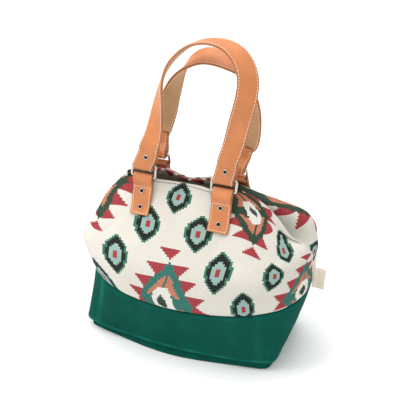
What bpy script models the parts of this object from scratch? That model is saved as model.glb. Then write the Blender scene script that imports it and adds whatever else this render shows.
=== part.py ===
"""Soft handbag with a boxed canvas base, a gathered cloth upper and two twisted leather handles on rings."""

from collections import namedtuple
from math import atan2, cos, exp, pi, radians, sin

import bpy
import numpy as np

MM = 0.001

# Body
BODY_WIDTH = 294 * MM
BODY_DEPTH = 158 * MM
BODY_HEIGHT = 224 * MM
CLOTH_WALL = 2.0 * MM
FLOOR_WALL = 3.0 * MM
SEAM_GAP = 0.35 * MM
FLOOR_LEVEL = 0
SEAM_LEVEL = 3
MOUTH_LEVEL = 9
AROUND = 60
BASE_ROWS = 7
PANEL_ROWS = 17
VALLEY_SPREAD = 0.34
VALLEY_PULL = 0.45

# Hem facing inside the mouth
HEM_WALL = 1.2 * MM
HEM_GAP = 0.4 * MM
HEM_ROWS = 3
HEM_TURNS = 0.100

# Leather tabs
TAB_WIDTH = 25 * MM
TAB_LENGTH = 45.5 * MM
TAB_WALL = 1.8 * MM
TAB_GAP = 0.9 * MM
TAB_BACK_LENGTH = 17 * MM
TAB_FLAT_LENGTH = 6 * MM
TAB_BLEND_LENGTH = 14 * MM
TAB_LEFT_X = -48 * MM
TAB_RIGHT_X = 53 * MM
BACK_TAB_SHIFT = 3 * MM
BAR_ABOVE_MOUTH = 2.5 * MM

# Rings
RING_WIRE = 3.2 * MM
RING_INSIDE_WIDTH = 27 * MM
RING_INSIDE_HEIGHT = 11 * MM
RING_CORNER = 2.5 * MM
RING_LEAN_FRONT = radians(-14)
RING_LEAN_BACK = radians(8)
BAR_CLEARANCE = 0.4 * MM

# Handles
STRAP_WIDTH = 25 * MM
STRAP_WALL = 3.0 * MM
STRAP_EDGE = 0.7 * MM
FOOT_STRAIGHT = 25 * MM
FOOT_LEAN = radians(6.5)
LOOP_SLACK = 1.5 * MM
FOLD_BACK_LENGTH = 27 * MM
FOLD_GAP = 0.35 * MM
HANDLE_STATIONS = 34

# Rivets
RIVET_RADIUS = 3.1 * MM
RIVET_HEIGHT = 1.3 * MM
RIVET_HOLE = 1.1 * MM
RIVET_SEAT = 0.35 * MM
TAB_RIVET_UPPER = 15.5 * MM
TAB_RIVET_LOWER = TAB_LENGTH - 10 * MM
HANDLE_RIVET_UP = 13 * MM
RIVET_SIDES = 10

# Side label
LABEL_WIDTH = 15 * MM
LABEL_RISE = 0.56
LABEL_SLANT = 0.012
LABEL_BOW = 1.4 * MM
LABEL_WALL = 0.8 * MM
LABEL_LEVEL = 3.58
LABEL_GAP = 0.4 * MM

# Heights, reaches and the end valley are shares of the body's height, half width and half depth; corner is the
# section's exponent and droop is the one for how its height falls toward the ends.
Section = namedtuple("Section", "mid end_left end_right left right front back corner valley droop")
SECTIONS = [
    Section(0.000, 0.000, 0.000, 0.880, 0.862, 0.765, 0.715, 12.0, 0.00, 2.4),
    Section(0.060, 0.068, 0.070, 0.880, 0.905, 0.800, 0.760, 8.0, 0.00, 2.4),
    Section(0.190, 0.235, 0.250, 0.848, 1.000, 0.880, 0.840, 4.6, 0.00, 2.0),
    Section(0.335, 0.418, 0.455, 0.820, 1.070, 0.955, 0.910, 3.2, 0.00, 1.7),
    Section(0.465, 0.505, 0.540, 0.868, 1.085, 1.030, 0.980, 2.9, 0.00, 2.1),
    Section(0.595, 0.585, 0.620, 0.930, 1.095, 1.000, 0.970, 2.8, 0.02, 2.4),
    Section(0.715, 0.670, 0.710, 0.875, 1.110, 0.770, 0.820, 2.8, 0.05, 2.5),
    Section(0.825, 0.770, 0.795, 0.800, 1.080, 0.510, 0.590, 2.9, 0.10, 2.8),
    Section(0.915, 0.875, 0.850, 0.705, 0.910, 0.330, 0.360, 3.2, 0.11, 3.2),
    Section(0.990, 0.945, 0.895, 0.580, 0.525, 0.240, 0.190, 3.2, 0.02, 3.8),
]

# Dents and folds: where round the section (turns), at which level, the two spreads and the push outward.
Fold = namedtuple("Fold", "turn level turn_spread level_spread push_mm")
FOLDS = [
    Fold(0.000, 9.00, 0.046, 1.10, -10.0),
    Fold(0.500, 9.00, 0.046, 1.10, -8.5),
    Fold(0.000, 0.70, 0.095, 0.90, 7.0),
    Fold(0.000, 0.00, 0.100, 0.60, 11.0),
    Fold(0.500, 0.60, 0.075, 1.10, 6.0),
    Fold(0.104, 4.20, 0.030, 0.50, -6.0),
    Fold(0.128, 5.60, 0.020, 0.50, 3.5),
    Fold(0.156, 7.50, 0.040, 0.95, -15.0),
    Fold(0.208, 8.00, 0.026, 0.80, -5.0),
    Fold(0.290, 9.00, 0.040, 0.60, -6.0),
    Fold(0.330, 7.60, 0.035, 0.80, 6.0),
    Fold(0.060, 7.00, 0.016, 0.80, -2.5),
    Fold(0.935, 7.00, 0.016, 0.80, -2.5),
    Fold(0.900, 5.20, 0.018, 0.60, -3.0),
    Fold(0.884, 1.50, 0.010, 1.10, -2.2),
    Fold(0.112, 1.50, 0.012, 1.10, -1.8),
    Fold(0.390, 5.80, 0.022, 0.60, -4.5),
    Fold(0.450, 4.40, 0.030, 0.60, -3.0),
    Fold(0.580, 6.20, 0.022, 0.70, -3.5),
    Fold(0.640, 5.00, 0.022, 0.70, -4.0),
]

# Handle lines: across, along depth, above the floor (mm), turn of the width and its bank (degrees).
Station = namedtuple("Station", "x y z turn bank")
FRONT_LINE = [
    Station(-38, -12, 285, -20, 0),
    Station(-33, -4, 314, -45, 0),
    Station(-30, 2, 337, -66, 4),
    Station(-24, 7, 355, -80, 8),
    Station(-13, 10, 370, -88, 9),
    Station(3, 12, 383, -92, 9),
    Station(22, 14, 389, -96, 6),
    Station(43, 13, 388, -104, 0),
    Station(60, 10, 379, -118, -8),
    Station(71, 5, 363, -136, -8),
    Station(74, 0, 347, -150, -4),
    Station(72, -5, 328, -158, 0),
    Station(67, -9, 306, -166, 0),
    Station(62, -13, 284, -172, 0),
]
BACK_LINE = [
    Station(-38, 21, 270, 190, 0),
    Station(-33, 24, 291, 205, 0),
    Station(-29, 26, 311, 222, -6),
    Station(-21, 29, 334, 240, -16),
    Station(-9, 32, 352, 256, -26),
    Station(8, 33, 363, 268, -30),
    Station(28, 32, 364, 280, -28),
    Station(46, 30, 357, 296, -20),
    Station(59, 28, 344, 312, -10),
    Station(67, 26, 329, 325, -4),
    Station(71, 24, 312, 336, 0),
    Station(71, 22, 293, 346, 0),
    Station(67, 20, 272, 354, 0),
]

COLOURS = {
    "canvas": ("#0F5C4F", 0.0, 0.85),
    "jacquard": ("#E9E1D3", 0.0, 0.9),
    "leather": ("#D9935F", 0.0, 0.5),
    "nickel": ("#C9C9C6", 1.0, 0.22),
    "tag": ("#E8DECA", 0.0, 0.85),
}


def clear_scene():
    """Empties the scene of objects."""
    for found in list(bpy.data.objects):
        bpy.data.objects.remove(found, do_unlink=True)


def linear(channel):
    """One display colour channel as linear light."""
    return channel / 12.92 if channel <= 0.04045 else ((channel + 0.055) / 1.055) ** 2.4


def material(name):
    """A plain surface by its name in COLOURS."""
    found = bpy.data.materials.get(name)
    if found:
        return found
    hex_colour, metallic, roughness = COLOURS[name]
    made = bpy.data.materials.new(name)
    made.use_nodes = True
    shader = made.node_tree.nodes["Principled BSDF"]
    rgb = [linear(int(hex_colour[i : i + 2], 16) / 255) for i in (1, 3, 5)]
    shader.inputs["Base Color"].default_value = (*rgb, 1)
    shader.inputs["Metallic"].default_value = metallic
    shader.inputs["Roughness"].default_value = roughness
    made.diffuse_color = (*rgb, 1)
    return made


def add_object(name, points, faces, surface):
    """A named mesh object with one surface."""
    mesh = bpy.data.meshes.new(name)
    mesh.from_pydata([tuple(float(c) for c in p) for p in points], [], faces)
    mesh.materials.append(material(surface))
    for face in mesh.polygons:
        face.use_smooth = True
    made = bpy.data.objects.new(name, mesh)
    bpy.context.scene.collection.objects.link(made)
    return made


def smooth_row(table, at):
    """The columns of a table at a fractional row, along a cubic through its rows."""
    rows = np.array([list(row) for row in table], float)
    last = len(rows) - 1
    at = min(max(at, 0.0), float(last))
    low = min(int(at), last - 1)
    t = at - low
    before = rows[max(low - 1, 0)]
    start, stop = rows[low], rows[low + 1]
    after = rows[min(low + 2, last)]
    in_slope = (stop - before) / 2 if low else stop - start
    out_slope = (after - start) / 2 if low + 1 < last else stop - start
    h00, h10 = 2 * t**3 - 3 * t**2 + 1, t**3 - 2 * t**2 + t
    h01, h11 = 3 * t**2 - 2 * t**3, t**3 - t**2
    return h00 * start + h10 * in_slope + h01 * stop + h11 * out_slope


def section_share(turn, corner):
    """Where a turn meets the section's outline, as shares of its reaches across and along."""
    across, along = sin(2 * pi * turn), -cos(2 * pi * turn)
    reach = (abs(across) ** corner + abs(along) ** corner) ** (-1 / corner)
    return across * reach, along * reach


def body_point(turn, level):
    """The body's outer surface: turn 0 is the middle of the front and 0.25 is the right end."""
    row = Section(*smooth_row(SECTIONS, level))
    wide, deep = section_share(turn, row.corner)
    right = wide >= 0
    half = (row.right if right else row.left) * BODY_WIDTH / 2
    depth = (row.front if deep < 0 else row.back) * BODY_DEPTH / 2
    end_height = row.end_right if right else row.end_left
    to_end = abs(wide) ** row.droop
    height = (row.mid + (end_height - row.mid) * to_end) * BODY_HEIGHT
    centre = exp(-((deep - 0.05) / VALLEY_SPREAD) ** 2) * max(abs(wide) - 0.2, 0) / 0.8
    drop = row.valley * BODY_HEIGHT * centre
    pull = drop * VALLEY_PULL * (1 if right else -1)
    return np.array([half * wide - pull, depth * deep, height - drop])


def folded_point(turn, level):
    """The body's outer surface with its dents and folds; the floor's edge stays level."""
    point = body_point(turn, level)
    push = 0.0
    for fold in FOLDS:
        away = (turn - fold.turn + 0.5) % 1.0 - 0.5
        size = (away / fold.turn_spread) ** 2 + ((level - fold.level) / fold.level_spread) ** 2
        push += fold.push_mm * MM * exp(-size)
    if abs(push) < 1e-6:
        return point
    out = normal_of(body_point, turn, level)
    out[2] *= min(level, 1)
    return point + push * out


def normal_of(surface, turn, level):
    """The outward direction of a surface given by turn and level."""
    step, rise = 0.004, 0.04
    low, high = max(level - rise, FLOOR_LEVEL + 0.001), min(level + rise, MOUTH_LEVEL)
    round_it = surface(turn + step, level) - surface(turn - step, level)
    up_it = surface(turn, high) - surface(turn, low)
    out = np.cross(round_it, up_it)
    return out / np.linalg.norm(out)


def wall_point(turn, level, inward):
    """A point of the wall at a depth inside the outer surface."""
    return folded_point(turn, level) - inward * normal_of(folded_point, turn, level)


def ring_faces(low, high, count, flip=False):
    """Quads between two closed rows of vertices that start at low and high."""
    faces = []
    for i in range(count):
        j = (i + 1) % count
        face = (low + i, low + j, high + j, high + i)
        faces.append(face[::-1] if flip else face)
    return faces


def turns_round():
    """Places round the section, closer together at the two ends."""
    even = np.arange(AROUND) / AROUND
    return even - 0.018 * np.sin(4 * pi * even)


def cap_faces(start, count, flip=False):
    """Fills a closed row of vertices with strips straight across it, from the front to the back."""
    faces = []
    for i in range(count // 2):
        b = start + i + 1
        left, right = start + (count - i) % count, start + (count - i - 1) % count
        if i == 0:
            face = (start, b, right)
        elif b == right:
            face = (start + i, b, left)
        else:
            face = (start + i, b, right, left)
        faces.append(face[::-1] if flip else face)
    return faces


def make_base():
    """The boxed lower shell, open at its top edge."""
    turns = turns_round()
    levels = np.linspace(FLOOR_LEVEL, SEAM_LEVEL, BASE_ROWS + 1)
    points, faces = [], []
    for level in levels:
        points += [folded_point(t, level) for t in turns]
    for k in range(BASE_ROWS):
        faces += ring_faces(k * AROUND, (k + 1) * AROUND, AROUND)
    faces += cap_faces(0, AROUND, flip=True)
    inner = len(points)
    for k, level in enumerate(levels):
        if k == 0:
            floor = [wall_point(t, 0.35, CLOTH_WALL) for t in turns]
            points += [np.array([p[0], p[1], FLOOR_WALL]) for p in floor]
        else:
            points += [wall_point(t, level, CLOTH_WALL) for t in turns]
    for k in range(BASE_ROWS):
        faces += ring_faces(inner + k * AROUND, inner + (k + 1) * AROUND, AROUND, flip=True)
    faces += cap_from(inner, AROUND)
    faces += ring_faces(BASE_ROWS * AROUND, inner + BASE_ROWS * AROUND, AROUND)
    return add_object("base", points, faces, "canvas")


def cap_from(start, count):
    """The same strips for a row that starts later in the list."""
    return [tuple(start + i for i in face) for face in cap_faces(0, count)]


def make_panel():
    """The cloth upper, a tube from the base's edge to the mouth."""
    turns = turns_round()
    levels = np.linspace(SEAM_LEVEL, MOUTH_LEVEL, PANEL_ROWS + 1)
    lift = np.array([0, 0, SEAM_GAP])
    points, faces = [], []
    for inward in (0.0, CLOTH_WALL):
        for level in levels:
            share = (level - SEAM_LEVEL) / (MOUTH_LEVEL - SEAM_LEVEL)
            for t in turns:
                points.append(wall_point(t, level, inward) + lift * (1 - share))
    rows = PANEL_ROWS + 1
    inner = rows * AROUND
    for k in range(PANEL_ROWS):
        faces += ring_faces(k * AROUND, (k + 1) * AROUND, AROUND)
        faces += ring_faces(inner + k * AROUND, inner + (k + 1) * AROUND, AROUND, flip=True)
    faces += ring_faces(PANEL_ROWS * AROUND, inner + PANEL_ROWS * AROUND, AROUND)
    faces += ring_faces(0, inner, AROUND, flip=True)
    return add_object("panel", points, faces, "jacquard")


def turn_at(x, level, back=False):
    """The turn where the front, or the back, of a level stands at x."""
    row = Section(*smooth_row(SECTIONS, level))
    half = (row.right if x >= 0 else row.left) * BODY_WIDTH / 2
    wide = min(abs(x) / half, 0.999)
    deep = (1 - wide**row.corner) ** (1 / row.corner)
    turn = atan2(wide, deep) / (2 * pi)
    turn = turn if x >= 0 else -turn
    return (0.5 - turn if back else turn) % 1.0


def down_line(x, back, length, steps=60):
    """Levels down the surface at x from the mouth, as pairs of length run and level."""
    level, run = MOUTH_LEVEL, 0.0
    last = folded_point(turn_at(x, level, back), level)
    pairs = [(0.0, level)]
    while run < length * 1.2:
        level -= MOUTH_LEVEL / (steps * 4)
        here = folded_point(turn_at(x, level, back), level)
        run += float(np.linalg.norm(here - last))
        last = here
        pairs.append((run, level))
    return np.array(pairs)


def skin_frame(x, down, back, pairs):
    """A point on the skin at a length below the mouth, its outward normal and the way down."""
    level = float(np.interp(max(down, 0), pairs[:, 0], pairs[:, 1]))
    turn = turn_at(x, level, back)
    at = folded_point(turn, level)
    lower = float(np.interp(max(down, 0) + 4 * MM, pairs[:, 0], pairs[:, 1]))
    way = (folded_point(turn_at(x, lower, back), lower) - at) * np.array([0, 1.0, 1.0])
    way = way / np.linalg.norm(way)
    normal = np.cross([-1.0 if back else 1.0, 0, 0], -way)
    return at + way * min(down, 0), normal, way


def make_hem(name, back):
    """One turned facing just inside the mouth, on the panel's own rows and columns."""
    turns = [t % 1.0 for t in turns_round()]
    middle = 0.5 if back else 0.0
    away = {t: (t - middle + 0.5) % 1.0 - 0.5 for t in turns}
    turns = sorted((t for t in turns if abs(away[t]) < HEM_TURNS), key=lambda t: away[t])
    row = (MOUTH_LEVEL - SEAM_LEVEL) / PANEL_ROWS
    levels = [MOUTH_LEVEL - k * row for k in range(HEM_ROWS + 1)]
    inner = CLOTH_WALL + HEM_GAP
    points, faces = [], []
    for t in turns:
        points += [wall_point(t, level, inner) for level in levels]
        points += [wall_point(t, level, inner + HEM_WALL) for level in levels[::-1]]
    ring = 2 * len(levels)
    for k in range(len(turns) - 1):
        faces += ring_faces(k * ring, (k + 1) * ring, ring)
    faces += [tuple(range(ring))[::-1], tuple(range((len(turns) - 1) * ring, len(turns) * ring))]
    return add_object(name, points, faces, "jacquard")


def bar_offset():
    """How far the ring's lower bar stands off the skin."""
    return TAB_GAP + TAB_WALL + BAR_CLEARANCE + RING_WIRE / 2


def tab_profile():
    """The tab's middle line as pairs of offset from the skin and length below the mouth."""
    radius = RING_WIRE / 2 + BAR_CLEARANCE + TAB_WALL / 2
    middle = bar_offset()
    near = TAB_GAP + TAB_WALL / 2
    outer = near + TAB_WALL + BAR_CLEARANCE
    line = [(near, TAB_BACK_LENGTH), (near, TAB_BACK_LENGTH / 2), (near, 2 * MM)]
    for step in range(9):
        angle = pi - step * pi / 8
        line.append((middle + radius * cos(angle), -BAR_ABOVE_MOUTH - radius * sin(angle)))
    line.append((middle + radius * 0.94, 2.5 * MM))
    line.append((outer + 0.9 * MM, 6.5 * MM))
    line.append((outer, 10.5 * MM))
    line.append((outer, TAB_RIVET_UPPER))
    line.append((outer, TAB_BACK_LENGTH + 3 * MM))
    line.append((near + 1.2 * MM, TAB_BACK_LENGTH + 8 * MM))
    line.append((near, TAB_BACK_LENGTH + 13 * MM))
    line.append((near, TAB_RIVET_LOWER))
    line.append((near, TAB_RIVET_LOWER + 6 * MM))
    line.append((near, TAB_LENGTH - 1.5 * MM))
    line.append((near, TAB_LENGTH))
    return line


def offset_line(line, wall):
    """The two sides of a middle line, half a wall away on each."""
    pts = np.array(line)
    ways = np.gradient(pts, axis=0)
    ways = ways / np.linalg.norm(ways, axis=1)[:, None]
    side = np.stack([-ways[:, 1], ways[:, 0]], axis=1) * wall / 2
    return pts + side, pts - side


def seat_lift(x, back, pairs):
    """How far the skin under a tab's width stands above the skin at its middle, near the mouth."""
    most = 0.0
    for down in (0, 3 * MM, TAB_FLAT_LENGTH):
        middle, normal, _ = skin_frame(x, down, back, pairs)
        for across in (-TAB_WIDTH / 2, -TAB_WIDTH / 4, TAB_WIDTH / 4, TAB_WIDTH / 2):
            at, _, _ = skin_frame(x + across, down, back, pairs)
            flat = middle + np.array([across, 0, 0])
            most = max(most, float((at - flat) @ normal))
    return most


def tab_place(x, across, offset, down, back, pairs, flat_lift):
    """A tab's point from its place across, off and down the skin."""
    at, _, _ = skin_frame(x + across, down, back, pairs)
    middle, normal, _ = skin_frame(x, down, back, pairs)
    flat = middle + np.array([across, 0, 0])
    blend = min(max((down - TAB_FLAT_LENGTH) / TAB_BLEND_LENGTH, 0), 1)
    blend = blend * blend * (3 - 2 * blend)
    follow = float((at - flat) @ normal)
    mixed = follow * blend + flat_lift * (1 - blend)
    lift = max(follow, mixed) if blend > 0 else flat_lift
    return flat + normal * (lift + offset)


def make_tab(name, x, back):
    """One leather tab, rolled round its ring's bar and lying on the skin."""
    pairs = down_line(x, back, TAB_LENGTH)
    flat_lift = seat_lift(x, back, pairs)
    one, two = offset_line(tab_profile(), TAB_WALL)
    across = np.linspace(-TAB_WIDTH / 2, TAB_WIDTH / 2, 4)
    points, faces = [], []
    count = len(one)
    for side in (one, two):
        for offset, down in side:
            for a in across:
                narrow = 1.0
                if down > TAB_LENGTH - 1 * MM:
                    narrow = 0.93
                points.append(tab_place(x, a * narrow, offset, down, back, pairs, flat_lift))
    wide, second = len(across), count * len(across)
    turned = back

    def put(face):
        faces.append(face[::-1] if turned else face)

    for k in range(count - 1):
        for j in range(wide - 1):
            a = k * wide + j
            put((a, a + 1, a + wide + 1, a + wide))
            b = second + a
            put((b, b + wide, b + wide + 1, b + 1))
        edge = k * wide
        put((edge, edge + wide, second + edge + wide, second + edge))
        far = edge + wide - 1
        put((far, second + far, second + far + wide, far + wide))
    for j in range(wide - 1):
        put((j, second + j, second + j + 1, j + 1))
        a = (count - 1) * wide + j
        put((a, a + 1, second + a + 1, second + a))
    return add_object(name, points, faces, "leather")


def bar_centre(x, back):
    """The middle of the ring's lower bar, with the outward and upward ways there."""
    pairs = down_line(x, back, 10 * MM)
    at, normal, way = skin_frame(x, 0, back, pairs)
    off = bar_offset() + seat_lift(x, back, pairs)
    return at + normal * off - way * BAR_ABOVE_MOUTH, normal, -way


def ring_frame(x, back):
    """The ring's lower bar, its upward way and its upper bar."""
    low, _, _ = bar_centre(x, back)
    lean = RING_LEAN_BACK if back else RING_LEAN_FRONT
    up = np.array([0, -sin(lean), cos(lean)])
    high = low + up * (RING_INSIDE_HEIGHT + RING_WIRE)
    return low, up, high


def make_ring(name, x, back):
    """One rectangular wire ring standing on its lower bar."""
    low, up, high = ring_frame(x, back)
    middle = (low + high) / 2
    side = np.array([1.0, 0, 0])
    out = np.cross(side, up)
    half_w = (RING_INSIDE_WIDTH + RING_WIRE) / 2
    half_h = (RING_INSIDE_HEIGHT + RING_WIRE) / 2
    path = []
    for sx, sy, start in ((1, 1, 0), (-1, 1, 90), (-1, -1, 180), (1, -1, 270)):
        for step in range(4):
            angle = radians(start + 30 * step)
            cx, cy = sx * (half_w - RING_CORNER), sy * (half_h - RING_CORNER)
            path.append((cx + RING_CORNER * cos(angle), cy + RING_CORNER * sin(angle)))
    points, faces, sides = [], [], 6
    for k, (a, b) in enumerate(path):
        before, after = path[k - 1], path[(k + 1) % len(path)]
        way = np.array([after[0] - before[0], after[1] - before[1]])
        way = way / np.linalg.norm(way)
        outward = side * way[1] - up * way[0]
        centre = middle + side * a + up * b
        for j in range(sides):
            angle = 2 * pi * (j + 0.5) / sides
            points.append(centre + (outward * cos(angle) + out * sin(angle)) * RING_WIRE / 2)
    total = len(path)
    for k in range(total):
        faces += ring_faces(k * sides, ((k + 1) % total) * sides, sides, flip=True)
    return add_object(name, points, faces, "nickel")


def line_through(points, count):
    """Even stations along a smooth line through rows of numbers."""
    rows = np.array(points, float)
    fine = np.array([smooth_row(rows, s) for s in np.linspace(0, len(rows) - 1, 400)])
    run = np.concatenate([[0], np.cumsum(np.linalg.norm(np.diff(fine[:, :3], axis=0), axis=1))])
    even = np.linspace(0, run[-1], count)
    return np.stack([np.interp(even, run, fine[:, c]) for c in range(fine.shape[1])], axis=1)


def foot_radius():
    """The reach of the strap's middle line round the ring's upper bar."""
    return RING_WIRE / 2 + BAR_CLEARANCE + LOOP_SLACK + STRAP_WALL / 2


def foot_line(x, back, toward):
    """The folded foot of a strap as points with their turn and bank, from the fold's end to the straight's end."""
    _, _, high = ring_frame(x, back)
    rise = toward - high
    rise = rise / np.linalg.norm(rise)
    most = sin(FOOT_LEAN)
    rise = np.array([min(max(rise[0], -most), most), rise[1], rise[2]])
    rise = rise / np.linalg.norm(rise)
    wide = np.array([-1.0 if back else 1.0, 0, 0])
    wide = wide - rise * float(wide @ rise)
    out = np.cross(wide / np.linalg.norm(wide), rise)
    radius = foot_radius()
    inner = radius - STRAP_WALL - FOLD_GAP
    pairs = [(inner, FOLD_BACK_LENGTH), (inner, 20 * MM), (inner - 0.4 * MM, 13 * MM), (-radius * 0.95, 4 * MM)]
    for step in range(8):
        angle = pi + step * pi / 7
        pairs.append((radius * cos(angle), radius * sin(angle)))
    pairs += [(radius, 7 * MM), (radius, HANDLE_RIVET_UP), (radius, 19 * MM), (radius, FOOT_STRAIGHT)]
    turn = {False: 0.0, True: 180.0}[back]
    return [np.array([*(high + out * n + rise * t), turn, 0.0]) for n, t in pairs], out, rise


def handle_rows(line, back):
    """The whole middle line of a handle with both folded feet."""
    shift = BACK_TAB_SHIFT if back else 0
    middle = [np.array([s.x * MM, s.y * MM, s.z * MM, s.turn, s.bank]) for s in line]
    left, left_out, left_up = foot_line(TAB_LEFT_X + shift, back, middle[0][:3])
    right, right_out, right_up = foot_line(TAB_RIGHT_X + shift, back, middle[-1][:3])
    last_turn = 360.0 if back else -180.0
    right = [np.array([*p[:3], last_turn, 0.0]) for p in right[::-1]]
    span = [left[-1]] + middle + [right[0]]
    even = line_through(span, HANDLE_STATIONS)
    rows = left[:-1] + [r for r in even] + right[1:]
    return rows, (left_out, left_up), (right_out, right_up)


def strap_points(rows):
    """The corners of the strap's section at each row."""
    rows = np.array(rows)
    ways = np.gradient(rows[:, :3], axis=0)
    half, thick, edge = STRAP_WIDTH / 2, STRAP_WALL / 2, STRAP_EDGE
    outline = [
        (-half, -thick + edge), (-half + edge, -thick), (half - edge, -thick), (half, -thick + edge),
        (half, thick - edge), (half - edge, thick), (-half + edge, thick), (-half, thick - edge),
    ]
    points = []
    for row, way in zip(rows, ways):
        way = way / np.linalg.norm(way)
        turn, bank = radians(row[3]), radians(row[4])
        wide = np.array([cos(turn) * cos(bank), sin(turn) * cos(bank), sin(bank)])
        wide = wide - way * float(wide @ way)
        wide = wide / np.linalg.norm(wide)
        out = np.cross(wide, way)
        points += [row[:3] + wide * a + out * b for a, b in outline]
    return points, len(outline)


def make_handle(name, line, back):
    """One strap with both feet folded round the rings."""
    rows, _, _ = handle_rows(line, back)
    points, ring = strap_points(rows)
    faces = []
    for k in range(len(rows) - 1):
        faces += ring_faces(k * ring, (k + 1) * ring, ring, flip=True)
    faces += [tuple(range(ring)), tuple(range((len(rows) - 1) * ring, len(rows) * ring))[::-1]]
    return add_object(name, points, faces, "leather")


def make_rivet(name, seat, normal):
    """One small hollow rivet head turned about its normal."""
    normal = normal / np.linalg.norm(normal)
    side = np.cross(normal, [0, 0, 1.0])
    side = side / np.linalg.norm(side)
    other = np.cross(normal, side)
    seat = seat + normal * RIVET_SEAT
    profile = [
        (RIVET_RADIUS, 0.0), (RIVET_RADIUS * 0.93, RIVET_HEIGHT * 0.55), (RIVET_RADIUS * 0.68, RIVET_HEIGHT),
        (RIVET_HOLE * 1.25, RIVET_HEIGHT * 0.9), (RIVET_HOLE, RIVET_HEIGHT * 0.35),
    ]
    points, faces = [], []
    for radius, height in profile:
        for j in range(RIVET_SIDES):
            angle = 2 * pi * j / RIVET_SIDES
            points.append(seat + (side * cos(angle) + other * sin(angle)) * radius + normal * height)
    for k in range(len(profile) - 1):
        faces += ring_faces(k * RIVET_SIDES, (k + 1) * RIVET_SIDES, RIVET_SIDES)
    faces.append(tuple(range(RIVET_SIDES))[::-1])
    faces.append(tuple(range((len(profile) - 1) * RIVET_SIDES, len(profile) * RIVET_SIDES)))
    return add_object(name, points, faces, "nickel")


def tab_rivet_seat(x, down, back):
    """Where a rivet sits on a tab's outer face, and its outward way."""
    line = np.array(tab_profile())[11:]
    pairs = down_line(x, back, TAB_LENGTH)
    flat_lift = seat_lift(x, back, pairs)

    def face(across, below):
        offset = float(np.interp(down + below, line[:, 1], line[:, 0])) + TAB_WALL / 2
        return tab_place(x, across, offset, down + below, back, pairs, flat_lift)

    reach = RIVET_RADIUS
    across_way = face(reach, 0) - face(-reach, 0)
    down_way = face(0, reach) - face(0, -reach)
    out = np.cross(across_way, -down_way) * (-1 if back else 1)
    out = out / np.linalg.norm(out)
    seat = face(0, 0)
    places = [(a, b) for a in (-reach, 0, reach) for b in (-reach, 0, reach)]
    rise = max(float((face(a, b) - seat) @ out) for a, b in places)
    return seat + out * rise, out


def make_label():
    """The folded tag that stands out of the right side seam."""
    normal = normal_of(folded_point, 0.25, LABEL_LEVEL)
    normal = np.array([normal[0], normal[1], normal[2] * 0.3])
    normal = normal / np.linalg.norm(normal)
    side = np.cross([0, 0, 1.0], normal)
    side = side / np.linalg.norm(side)
    points, faces = [], []
    steps, rows = 5, 3
    reach = [float(folded_point(0.25, LABEL_LEVEL + r)[0]) for r in (-LABEL_RISE, 0, LABEL_RISE)]
    for s in (1, -1):
        for i in range(steps):
            share = i / (steps - 1)
            bow = LABEL_BOW * sin(pi * share)
            for j in range(rows):
                at = folded_point(0.25 + (j - 1) * LABEL_SLANT, LABEL_LEVEL + (j - 1) * LABEL_RISE)
                start = at + np.array([max(reach) - at[0] + LABEL_GAP, 0, 0])
                points.append(start + normal * share * LABEL_WIDTH + side * (bow + s * LABEL_WALL / 2))
    second = steps * rows
    for i in range(steps - 1):
        for j in range(rows - 1):
            a = i * rows + j
            faces.append((a, a + 1, a + rows + 1, a + rows))
            faces.append((second + a, second + a + rows, second + a + rows + 1, second + a + 1))
        a, b = i * rows, i * rows + rows - 1
        faces.append((a, a + rows, second + a + rows, second + a))
        faces.append((b, second + b, second + b + rows, b + rows))
    for j in range(rows - 1):
        a = (steps - 1) * rows + j
        faces.append((j, second + j, second + j + 1, j + 1))
        faces.append((a, a + 1, second + a + 1, second + a))
    return add_object("label", points, faces, "tag")


def plan_shift(pieces):
    """The move that puts the middle of the whole bag's outer box over the origin."""
    corners = np.array([v.co[:] for piece in pieces for v in piece.data.vertices])
    middle = (corners.min(axis=0) + corners.max(axis=0)) / 2
    return (-middle[0], -middle[1], 0)


def make_all():
    """Builds every piece and hangs it from the base, centred in plan."""
    clear_scene()
    base = make_base()
    made = [make_panel(), make_hem("hem_front", False), make_hem("hem_back", True), make_label()]
    for back in (False, True):
        side = "back" if back else "front"
        shift = BACK_TAB_SHIFT if back else 0
        for end, x in (("left", TAB_LEFT_X + shift), ("right", TAB_RIGHT_X + shift)):
            made.append(make_tab(f"tab_{side}_{end}", x, back))
            made.append(make_ring(f"ring_{side}_{end}", x, back))
            for place, down in (("upper", TAB_RIVET_UPPER), ("lower", TAB_RIVET_LOWER)):
                seat, normal = tab_rivet_seat(x, down, back)
                made.append(make_rivet(f"tab_rivet_{side}_{end}_{place}", seat, normal))
        line = BACK_LINE if back else FRONT_LINE
        made.append(make_handle(f"handle_{side}", line, back))
        _, left, right = handle_rows(line, back)
        for end, x, (out, up) in (("left", TAB_LEFT_X + shift, left), ("right", TAB_RIGHT_X + shift, right)):
            _, _, high = ring_frame(x, back)
            seat = high + out * (foot_radius() + STRAP_WALL / 2) + up * HANDLE_RIVET_UP
            made.append(make_rivet(f"handle_rivet_{side}_{end}", seat, out))
    for piece in made:
        piece.parent = base
    base.location = plan_shift([base, *made])


make_all()
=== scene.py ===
"""The looks of a soft two-handle tote: patterned jacquard upper, teal canvas base, tan leather, nickel fittings."""

from collections import namedtuple
from math import cos, pi, radians, sin

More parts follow.
